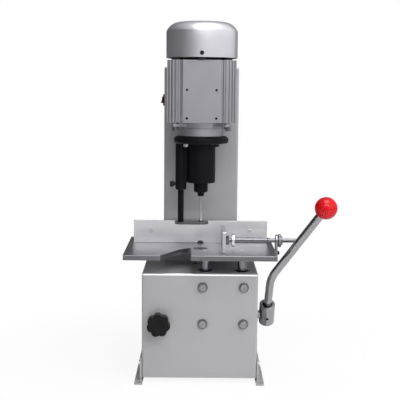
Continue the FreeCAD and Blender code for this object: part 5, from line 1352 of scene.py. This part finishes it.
@dataclass
class Table(Assembly):
    """The lifting table with the pad under the bit, its guide rods and its edge bracket."""

    half: float = 150.0
    front: float = -143.0
    back: float = 68.0
    top: float = 263.5
    thick: float = 10.0
    slot_half: float = 85.0
    slot_front: float = 6.0
    notch_left: float = -78.0
    notch_bend: Pair = (-39.0, -75.0)
    notch_tip: Pair = (-18.0, -57.0)
    front_bevel: float = 1.2
    pad_radius: float = 15.0
    pad_depth: float = 6.0
    waste_radius: float = 6.0
    rack_screw_y: float = -4.0
    fence_screw_y: float = 24.0
    rod_radius: float = 9.0
    rod_low: float = 49.0
    tie_bar_thick: float = 12.0
    edge_screw_drop: float = 5.0
    bracket_radius: float = 12.0
    bracket_thick: float = 4.0
    thread_turns: int = 4

    def build(self) -> None:
        """Builds the table and what hangs from it."""
        self.make_top()
        self.make_pad()
        self.make_rods()
        self.make_screws()
        self.make_bracket()
        self.dress(MACHINED, "rack_post", "tie_bar")

    def edge_screw(self, x: float) -> Matrix:
        """A frame on the axis of the screw that holds the edge bracket, facing right."""
        return aimed(x, GAUGE_Y, self.top - self.edge_screw_drop, RIGHT)

    def make_top(self) -> None:
        """Cuts the top from plate, with its notch, its rear slot and its holes, and paints shade on its side faces."""
        half, front, back, slot = self.half, self.front, self.back, self.slot_half
        corners = [(-half, front), (self.notch_left, front), self.notch_bend, self.notch_tip,
                   (self.notch_tip[0], front), (half, front), (half, back), (slot, back), (slot, self.slot_front),
                   (-slot, self.slot_front), (-slot, back), (-half, back)]
        outline = round_corners(corners, [1.5, 1.0, 3.5, 3.5, 1.0, 1.5, 2, 2, 3, 3, 2, 2], 8)
        top = plate("table_plate", outline, "Z", self.top - self.thick, self.top)
        bevel_edges(top, self.front_bevel, 1,
                    lambda middle, along: middle.z > self.top - 0.1 and middle.y < front + 0.1)
        soften(top, 0.4, 2, 40)
        cut(top, *self.top_cutters())
        self.fit(shade(top, LATHE), TABLE_STEEL, "table", "worktable")
        # The side faces, save the slanted ones, are painted darker as shade.
        self.trim(top, TABLE_EDGE_SHADE, lambda centre, normal: abs(normal.z) < 0.8 and abs(centre.y) > 6
                  and not 0.3 < abs(normal.x) < 0.96)

    def top_cutters(self) -> list[Piece]:
        """The cutters for the pad's seat and for every hole and countersink in the top."""
        low, high = self.top - self.thick - 2, self.top
        cutters = [rod("pad_seat", self.pad_radius + 0.15, 9, upright(0, DRILL_Y, high - self.pad_depth), 64),
                   rod("waste_hole", self.waste_radius, 12, upright(0, DRILL_Y, low), 40)]
        cutters += [rod("hole", 3.1, 14, upright(x, ROD_Y, low), 24) for x in ROD_X]
        cutters += [rod("hole", 2.9, 14, upright(side * FENCE_SCREW_X, self.fence_screw_y, low), 24) for side in SIDES]
        cutters.append(rod("hole", 4.1, 14, upright(0, self.rack_screw_y, low), 24))
        for x, y, radius in (*((x, ROD_Y, 4.5) for x in ROD_X), (0, self.rack_screw_y, 7)):
            seat = [(0, high - radius), (radius + 0.1, high + 0.1), (radius + 0.1, high + 2), (0, high + 2)]
            cutters.append(turned("countersink", seat, upright(x, y), 40))
        cutters.append(rod("hole", 1.9, 14, self.edge_screw(self.half - 12), 24))
        return cutters

    def make_pad(self) -> None:
        """Turns the pad that the bit cuts into, with the ring that the bit leaves."""
        low, high, radius = self.top - self.pad_depth, self.top, self.pad_radius
        profile = [(2.5, low), (radius, low), (radius, high - 0.6), (radius - 0.2, high - 0.2), (radius - 0.6, high),
                   (3.4, high), (3.1, high - 0.35), (2.5, high - 0.5), (2.5, low)]
        pad = turned("cutting_pad", profile, upright(0, DRILL_Y), 72)
        self.fit(shade(pad, LATHE), BAKELITE, "table", "drill_pad")

    def make_rods(self) -> None:
        """Turns the two ground rods, tapped at both ends."""
        low, high, radius = self.rod_low, self.top - self.thick, self.rod_radius
        profile = [(2.9, low), (radius - 0.8, low), (radius, low + 0.8), (radius, high), (2.9, high), (2.9, high - 22),
                   (0, high - 22), (0, low + 20), (2.9, low + 20), (2.9, low)]
        post = shade(turned("ground_rod", profile, ORIGIN, 72), LATHE)
        posts = gather("ground_rods", copies(post, [upright(x, ROD_Y) for x in ROD_X]))
        # The rods' darker grey is partly painted shade from the table above.
        self.fit(posts, SHADED_GROUND_ROD, "table", "guide_rods")

    def make_screws(self) -> None:
        """Makes the table's screws: flush ones above, capped ones at the fence, the tie bar and the bracket."""
        high, below = self.top, self.rod_low - self.tie_bar_thick
        sets = ((flat_screw("flush_small", 4.5, 1.6, 2.9, 23.4), [upright(x, ROD_Y, high) for x in ROD_X]),
                (flat_screw("flush_large", 7, 3, 4, 23), [upright(0, self.rack_screw_y, high)]),
                (socket_screw("bar_screw", 5, 6, 2.9, 26), [aimed(x, ROD_Y, below, DOWN) for x in ROD_X]),
                (socket_screw("clamp_screw", 5.5, 5, 2.8, 13),
                 [upright(side * FENCE_SCREW_X, self.fence_screw_y, high + 4.4) for side in SIDES]),
                (socket_screw("edge_screw", 3.75, 4.5, 1.9, 14), [self.edge_screw(self.half + self.bracket_thick)]))
        pieces = [piece for screw, frames in sets for piece in copies(screw, frames)]
        screws = self.fit(gather("table_cap_screws", pieces), ZINC, "table", "table_screws")
        self.trim(screws, BLACK_OXIDE, lambda centre, normal: centre.x > self.half + 3.9)

    def make_bracket(self) -> None:
        """Makes the round-headed bracket on the table's edge and its threaded boss."""
        radius, low, thick = self.bracket_radius, self.top - self.thick + 0.5, self.bracket_thick
        outline = [(GAUGE_Y - radius, low), (GAUGE_Y + radius, low)]
        outline += [(GAUGE_Y + radius * math.cos(math.pi * step / 24), GAUGE_Z + radius * math.sin(math.pi * step / 24))
                    for step in range(25)]
        bracket = plate("edge_bracket", outline, "X", self.half, self.half + thick)
        cut(bracket, rod("bore", 6, 8, on_gauge(self.half - 2), 40),
            rod("hole", 1.9, 8, self.edge_screw(self.half - 2), 24))
        soften(bracket, 0.5, 3, 40)
        profile = [(4.05, 0), (7.5, 0), (7.5, 4.4)]
        for turn in range(self.thread_turns):
            profile += [(7.1, 4.7 + turn), (7.1, 4.9 + turn), (7.5, 5.2 + turn), (7.5, 5.4 + turn)]
        profile += [(7.1, 8.8), (6.9, 9), (4.05, 9), (4.05, 0)]
        boss = shade(turned("boss", profile, on_gauge(self.half), 48), LATHE)
        self.fit(gather("edge_bracket", [bracket, boss]), MACHINED, "table", "gauge_bracket")


@dataclass
class Fence(Assembly):
    """The upright fence, its two slotted brackets and the screws between them."""

    half: float = 139.5
    face: float = -0.8
    thick: float = 5.0
    low: float = 263.8
    tall: float = 46.5
    notch: float = 7.0
    notch_drop: float = 2.0
    notch_steps: int = 16
    screw_z: float = 288.5
    travel: float = 15.0
    bracket_half: float = 13.0
    bracket_back: float = 46.0

    def build(self) -> None:
        """Builds the fence."""
        self.make_plate()
        self.make_brackets()
        screw = socket_screw("fence_screw", 4.5, 2.4, 2.9, 11)
        frames = [aimed(side * FENCE_SCREW_X, self.face, self.screw_z, FRONT) for side in SIDES]
        self.fit(gather("fence_cap_screws", copies(screw, frames)), ZINC, "fence", "fence_screws")

    def make_plate(self) -> None:
        """Cuts the fence from plate, with the half-round notch at its foot."""
        high, drop = self.low + self.tall, self.notch_drop
        start = math.atan2(drop, math.sqrt(self.notch ** 2 - drop ** 2))
        swings = [math.pi - start - (math.pi - 2 * start) * step / self.notch_steps
                  for step in range(self.notch_steps + 1)]
        notch = [(self.notch * math.cos(swing), self.low - drop + self.notch * math.sin(swing)) for swing in swings]
        outline = [(-self.half, self.low), *notch, (self.half, self.low), (self.half, high), (-self.half, high)]
        fence = plate("fence_plate", outline, "Y", self.face, self.face + self.thick)
        cut(fence, *[rod("hole", 3.1, 10, aimed(side * FENCE_SCREW_X, self.face - 2, self.screw_z, BACK), 24)
                     for side in SIDES])
        soften(fence, 0.55, 2, 40)
        self.fit(fence, FENCE_PLATE, "fence", "fence")

    def make_brackets(self) -> None:
        """Bends the two slotted angle brackets."""
        back, low = self.face + self.thick, self.low
        outline = [(back, low - 0.2), (self.bracket_back, low - 0.2), (self.bracket_back, low + 4),
                   (back + 5.5, low + 4), (back + 4, low + 5.5), (back + 4, low + 40), (back, low + 40)]
        bracket = plate("bracket", outline, "X", -self.bracket_half, self.bracket_half)
        slot = plate("slot", rounded((-3.2, 21), (3.2, 27 + self.travel), 3.1), "Z", low - 2, low + 6)
        cut(bracket, slot, rod("hole", 2.9, 8, aimed(0, back - 1, self.screw_z, BACK), 24))
        soften(bracket, 0.6, 3, 40)
        frames = [upright(side * FENCE_SCREW_X, 0) for side in SIDES]
        self.fit(gather("fence_angles", copies(bracket, frames)), BLACK_OXIDE, "fence", "fence_brackets")


@dataclass
class SideStop(Assembly):
    """The side stop: its plate, the rod that carries it, and the knurled nut that locks the rod."""

    left: float = 43.5
    right: float = 50.0
    front: float = -118.8
    back: float = -21.0
    low: float = 263.9
    top: float = 306.2
    rod_radius: float = 4.0
    rod_end: float = 200.0
    sleeve_radius: float = 5.3
    sleeve_start: float = 68.5
    sleeve_end: float = 134.0
    disc_radius: float = 13.3
    disc_start: float = 62.5
    nut_start: float = 155.0
    grooves: int = 24

    def build(self) -> None:
        """Builds the side stop."""
        self.make_plate()
        self.make_rod()
        self.make_collar()
        self.make_nut()

    def make_plate(self) -> None:
        """Cuts the upright plate, rounded above and bored for its rod."""
        outline = rounded((self.front, self.low), (self.back, self.top), 0.8, 0.8, 3, 3)
        stop = plate("stop_plate", outline, "X", self.left, self.right)
        cut(stop, rod("hole", self.rod_radius, 12, on_gauge(self.left - 2), 40))
        soften(stop, 0.55, 3, 40)
        self.fit(stop, STOP_PLATE, "side_stop", "side_stop_plate")

    def make_rod(self) -> None:
        """Turns the stepped rod."""
        start = self.left + 2
        narrow, wide = self.rod_radius, self.sleeve_radius
        near, far, end = self.sleeve_start - start, self.sleeve_end - start, self.rod_end - start
        profile = [(0, 0), (narrow, 0), (narrow, near), (wide - 0.3, near), (wide, near + 0.3), (wide, far - 1),
                   (wide - 1, far), (narrow, far), (narrow, end - 1.2), (narrow - 0.4, end - 0.4),
                   (narrow - 1.2, end), (0, end)]
        bar = turned("stop_rod", profile, on_gauge(start), 48)
        self.fit(shade(bar, LATHE), GAUGE_STEEL, "side_stop", "gauge_rod")

    def make_collar(self) -> None:
        """Makes the jam nut and the disc behind the stop plate."""
        nut = hexagon("jam_nut", 9, 7, [(0, -1), (8.2, -1), (9.4, 1), (9.4, 6), (8.2, 8), (0, 8)])
        cut(nut, rod("bore", self.rod_radius, 12, upright(0, 0, -2), 40))
        place(shade(nut, FLATS), on_gauge(self.right))
        edge, inner = self.disc_radius, self.rod_radius
        profile = [(inner, 0), (edge - 1, 0), (edge - 0.3, 0.3), (edge, 1), (edge, 5), (edge - 0.3, 5.7),
                   (edge - 1, 6), (inner, 6), (inner, 0)]
        disc = shade(turned("disc", profile, on_gauge(self.disc_start), 72), LATHE)
        collar = self.fit(gather("stop_collar", [nut, disc]), GAUGE_STEEL, "side_stop", "gauge_collar")
        self.trim(collar, ZINC, lambda centre, normal: centre.x > self.disc_start - 0.5)

    def make_nut(self) -> None:
        """Turns and knurls the lock nut."""
        thread, outer = 7.55, self.disc_radius
        profile = [(thread, 0), (outer - 2, 0), (outer - 0.6, 0.5), (outer, 1.7), (outer, 5.3), (outer - 0.5, 6.2),
                   (outer - 1.4, 6.5), (8.5, 6.5), (8.5, 8.6), (8.1, 9), (4.2, 9), (4.2, 7), (thread, 7), (thread, 0)]
        nut = turned("knurled_nut", profile, ORIGIN, 96)
        groove = rod("groove", 1.1, 9, upright(outer + 0.4, 0, -1), 12)
        cut(nut, gather("grooves", copies(groove, around(self.grooves))))
        place(shade(nut, LATHE), on_gauge(self.nut_start))
        self.fit(nut, GAUGE_STEEL, "lock_nut", "gauge_lock_nut")


# ---------------------------------------------------------------- lever and knob


@dataclass
class Lever(Assembly):
    """The hand lever: its hub, its bent bar and its ball."""

    x: float = 138.0
    lean: float = 25.0
    hub_radius: float = 16.0
    below: float = 22.0
    above: float = 28.0
    bar_radius: float = 8.0
    foot: float = 9.0
    bend_x: float = 3.5
    bend_z: float = 94.0
    bend_radius: float = 75.0
    bend_steps: int = 28
    tilt: float = 30.0
    ball_z: float = 261.0
    ball_radius: float = 21.5
    ball_steps: int = 40

    def frame(self) -> Matrix:
        """The lever's own frame: Z runs up the lever and X to the right."""
        return upright(self.x, SHAFT_Y, SHAFT_Z) @ Matrix.Rotation(math.radians(self.lean), 4, "X")

    def build(self) -> None:
        """Builds the lever."""
        self.make_hub()
        self.make_bar()
        self.make_ball()
        self.dress(MACHINED, "lever_shaft", "sector_gear", "upper_guide_block", "lower_guide_block")
        self.dress(BEARING_BRONZE, "guide_bushes", "shaft_bushes")

    def make_hub(self) -> None:
        """Turns the hub, bores it for the shaft and taps it for the set screw."""
        wide, low, high, bar = self.hub_radius, -self.below, self.above, self.bar_radius
        profile = [(0, low), (wide - 5, low), (wide - 3.4, low + 0.7), (wide - 0.7, low + 3.4), (wide, low + 5),
                   (wide, high - 1), (wide - 0.3, high - 0.3), (wide - 1, high), (11.2, high), (10.6, high - 0.3),
                   (bar, high - 5), (bar, self.foot), (0, self.foot)]
        hub = turned("lever_boss", profile, ORIGIN, 80)
        cut(hub, rod("shaft_bore", 8, 26, aimed(-wide - 2, 0, 0, RIGHT), 48),
            rod("tapped_hole", 3, 12, aimed(0, -7, 0, FRONT), 32))
        place(shade(hub, LATHE), self.frame())
        self.fit(hub, LEVER_CHROME, "lever", "lever_hub")
        screw = rod("set_screw", 3, 6, ORIGIN, 32)
        cut(screw, rod("socket", 1.7, 4, upright(0, 0, 3.5), 6))
        place(shade(screw, LATHE), self.frame() @ aimed(0, -8.5, 0, FRONT))
        self.fit(screw, BLACK_OXIDE, "lever", "hub_set_screw")

    def make_bar(self) -> None:
        """Draws the bar from a disc: a straight run, a bend by spinning its end, and a longer run."""
        first = math.atan2(self.bend_x, self.bend_z - self.foot)
        second = math.radians(self.tilt)
        tangent = self.bend_radius * math.tan((second - first) / 2)
        start = Vector((self.bend_x - tangent * math.sin(first), 0, self.bend_z - tangent * math.cos(first)))
        centre = start + Vector((math.cos(first), 0, -math.sin(first))) * self.bend_radius
        along = (self.ball_z - self.bend_z) / math.cos(second) - tangent
        deselect()
        bpy.ops.mesh.primitive_circle_add(vertices=40, radius=self.bar_radius * MM, fill_type="NGON",
                                          location=(0, 0, 0))
        bar = bpy.context.object
        bar.name = "lever_bar"
        place(bar, Matrix.Translation((0, 0, self.foot * MM)) @ Matrix.Rotation(first, 4, "Y"))
        edit(bar)
        bpy.ops.mesh.extrude_region_move(TRANSFORM_OT_translate={"value": (start - Vector((0, 0, self.foot))) * MM})
        bpy.ops.mesh.spin(steps=self.bend_steps, angle=first - second, center=centre * MM, axis=(0, 1, 0))
        run = Vector((math.sin(second), 0, math.cos(second))) * along * MM
        bpy.ops.mesh.extrude_region_move(TRANSFORM_OT_translate={"value": run})
        merge_and_turn_out()
        close()
        place(shade(bar, 40), self.frame())
        self.fit(bar, LEVER_CHROME, "lever", "lever_arm")

    def make_ball(self) -> None:
        """Spins the ball, bored for the bar, with a narrow flat where the bar enters."""
        radius, bar = self.ball_radius, self.bar_radius
        mouth = math.asin((bar + 1.2) / radius)
        level = -radius * math.cos(mouth)
        profile = [(0, 2), (bar, 2), (bar, level + 0.2), (bar + 0.3, level)]
        for step in range(self.ball_steps + 1):
            swing = mouth + (math.pi - mouth) * step / self.ball_steps
            profile.append((radius * math.sin(swing), -radius * math.cos(swing)))
        ball = turned("hand_ball", profile, ORIGIN, 80)
        tilt = math.radians(self.tilt)
        sideways = self.bend_x + (self.ball_z - self.bend_z) * math.tan(tilt)
        place(shade(ball, 40), self.frame() @ (upright(sideways, 0, self.ball_z) @ Matrix.Rotation(tilt, 4, "Y")))
        self.fit(ball, BALL_RED, "lever", "lever_ball")


@dataclass
class DepthKnob(Assembly):
    """The star knob on the cabinet's front and the stop block that it clamps."""

    face: float = -115.3
    radius: float = 23.3
    lobe: float = 9.5
    lobes: int = 7
    lobe_steps: int = 20
    turn: float = 5.0
    low: float = 8.0
    high: float = 26.0
    core_extra: float = 0.8
    edge: float = 1.8

    def outline(self) -> list[Pair]:
        """The knob's rim: round lobes that meet its core."""
        centre = self.radius - self.lobe
        core = centre + self.core_extra
        points = []
        count = self.lobes * self.lobe_steps
        for index in range(count):
            off = math.tau * (index / count % (1 / self.lobes)) - math.pi / self.lobes
            heading = math.tau * index / count - math.pi / self.lobes + math.radians(self.turn)
            across = centre * math.sin(off)
            reach = 0.0
            if abs(across) < self.lobe:
                reach = centre * math.cos(off) + math.sqrt(self.lobe ** 2 - across ** 2)
            distance = max(core, reach)
            points.append((-distance * math.sin(heading), distance * math.cos(heading)))
        return points

    def build(self) -> None:
        """Moulds the knob and dresses the stop block."""
        high = self.high
        knob = plate("star_grip", self.outline(), "Z", self.low, high)
        bevel_edges(knob, self.edge, 4, lambda middle, along: abs(along.z) < 0.1)
        cut(knob, turned("dish", [(0, high - 0.8), (10, high - 0.8), (11.5, high + 1), (0, high + 1)], ORIGIN, 48))
        weld(knob, turned("neck", [(0, 0), (9.2, 0), (9.5, 0.3), (9.5, 9), (0, 9)], ORIGIN, 48),
             turned("stud", [(0, -34), (3.4, -34), (4, -33.4), (4, 1), (0, 1)], ORIGIN, 32))
        place(shade(knob, 34), aimed(KNOB_X, self.face, KNOB_Z, FRONT))
        self.fit(knob, BAKELITE, "knob", "star_knob")
        self.dress(MACHINED, "stop_block")


# ---------------------------------------------------------------- studio


@dataclass
class Studio:
    """The pale floor, the soft lamps, the studio's own brightness and the camera, in metres, watts and degrees."""

    floor_half: float = 40.0
    floor_colour: Triple = (0.86, 0.86, 0.86)
    floor_white: float = 0.90
    fade_start: float = 0.2
    fade_end: float = 0.7
    ambient: float = 0.13
    gloss_low: float = 0.10
    gloss_middle: float = 0.36
    gloss_right: float = 0.60
    gloss_up: float = 0.42
    gloss_back: float = -0.23
    gloss_behind: float = 0.25
    behind_start: float = 0.50
    behind_end: float = 0.78
    lens: float = 76.5
    sensor: float = 36.0
    eye: Triple = (-0.0014, -1.757, 0.5793)
    pitch: float = 82.69
    roll: float = 0.5
    middle: Triple = (0.0, 0.0, 0.3)

    def build(self) -> None:
        """Sets up the whole studio."""
        bpy.context.scene.view_settings.view_transform = "Standard"
        self.make_camera()
        self.make_world()
        self.make_floor()
        self.make_lamps()

    def make_camera(self) -> None:
        """Stands the camera at eye height before the machine."""
        lens = bpy.data.cameras.new("Camera")
        lens.lens = self.lens
        lens.sensor_width = self.sensor
        camera = bpy.data.objects.new("Camera", lens)
        bpy.context.scene.collection.objects.link(camera)
        turn = Matrix.Rotation(math.radians(self.pitch), 4, "X") @ Matrix.Rotation(math.radians(self.roll), 4, "Z")
        camera.matrix_world = Matrix.Translation(self.eye) @ turn
        bpy.context.scene.camera = camera

    def make_world(self) -> None:
        """Makes the studio white to the eye, and for gloss brighter overhead and on the right."""
        world = bpy.data.worlds.new("Studio")
        bpy.context.scene.world = world
        world.use_nodes = True
        world.node_tree.nodes.clear()
        bench = NodeBench(world.node_tree)
        rays = bench.add("LightPath").outputs
        heading = bench.add("TexCoord").outputs["Generated"]
        slopes = (self.gloss_right, self.gloss_back, self.gloss_up)
        rise = bench.add("VectorMath", {"operation": "DOT_PRODUCT"}, i0=heading, i1=slopes).outputs["Value"]
        share = bench.math("ADD", rise, self.gloss_middle, clamp=True)
        behind = bench.add("SeparateXYZ", Vector=heading).outputs["Y"]
        clear = bench.add("MapRange", {"interpolation_type": "SMOOTHSTEP"}, Value=behind, From_Min=self.behind_start,
                          From_Max=self.behind_end, To_Min=1.0, To_Max=self.gloss_behind).outputs[0]
        level = bench.math("ADD", self.gloss_low, bench.multiply(share, clear, 1.0 - self.gloss_low))
        plain, gloss, white = (bench.add("Background", Color=WHITE, Strength=strength)
                               for strength in (self.ambient, level, 1.0))
        lit = bench.add("MixShader", i0=rays["Is Glossy Ray"], i1=plain.outputs[0], i2=gloss.outputs[0])
        seen = bench.math("MAXIMUM", rays["Is Camera Ray"], rays["Is Transmission Ray"])
        both = bench.add("MixShader", i0=seen, i1=lit.outputs[0], i2=white.outputs[0])
        bench.add("OutputWorld", Surface=both.outputs[0])

    def make_floor(self) -> None:
        """Lays the pale floor, which keeps the machine's soft shadow and fades to white around it."""
        deselect()
        bpy.ops.mesh.primitive_plane_add(size=2 * self.floor_half, location=(0, 0, 0))
        floor = bpy.context.object
        floor.name = "studio_floor"
        material = bpy.data.materials.new("StudioFloor")
        material.use_nodes = True
        material.node_tree.nodes.clear()
        bench = NodeBench(material.node_tree)
        matt = bench.add("BsdfDiffuse", Color=(*self.floor_colour, 1.0))
        white = bench.add("Emission", Color=WHITE, Strength=1.0)
        away = bench.add("VectorMath", {"operation": "LENGTH"}, i0=bench.place()).outputs["Value"]
        fade = bench.add("MapRange", {"interpolation_type": "SMOOTHSTEP"}, Value=away, From_Min=self.fade_start,
                         From_Max=self.fade_end, To_Min=self.floor_white, To_Max=1.0).outputs[0]
        share = bench.multiply(bench.add("LightPath").outputs["Is Camera Ray"], fade)
        both = bench.add("MixShader", i0=share, i1=matt.outputs[0], i2=white.outputs[0])
        bench.add("OutputMaterial", Surface=both.outputs[0])
        floor.data.materials.append(material)

    def make_lamps(self) -> None:
        """Hangs the soft lamps: a key on the right, others above the front and overhead, weak ones left and behind."""
        self.softbox("Key", (1.6, -1.3, 1.45), (1.9, 1.9), 38, False)
        self.softbox("Front", (0.2, -1.7, 1.6), (1.4, 0.5), 13, True)
        self.softbox("Overhead", (0.3, -0.5, 2.3), (1.2, 1.0), 22, True)
        self.softbox("Fill", (-1.7, -1.6, 0.9), (0.9, 1.4), 3, False)
        self.softbox("Rear", (-1.2, 1.9, 1.3), (1.6, 1.2), 12, False)

    def softbox(self, name: str, where: Triple, size: Pair, power: float, mirrored: bool) -> None:
        """Hangs a rectangular lamp that looks at the machine's middle, and says if gloss mirrors it."""
        lamp = bpy.data.lights.new(name, "AREA")
        lamp.shape = "RECTANGLE"
        lamp.size, lamp.size_y = size
        lamp.energy = power
        holder = bpy.data.objects.new(name, lamp)
        bpy.context.scene.collection.objects.link(holder)
        holder.visible_glossy = mirrored
        holder.location = where
        holder.rotation_euler = (Vector(self.middle) - Vector(where)).to_track_quat("-Z", "Y").to_euler()


def main() -> None:
    """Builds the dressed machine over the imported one."""
    logging.basicConfig(level=logging.INFO, format="%(message)s")
    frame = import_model()
    shop = FinishShop()
    Studio().build()
    for assembly in (Cabinet, Column, Head, Spindle, Presser, Motor, Table, Fence, SideStop, Lever, DepthKnob):
        assembly(frame["nodes"], shop).build()
        LOG.info("%s done", assembly.__name__)


if __name__ == "__main__":
    main()
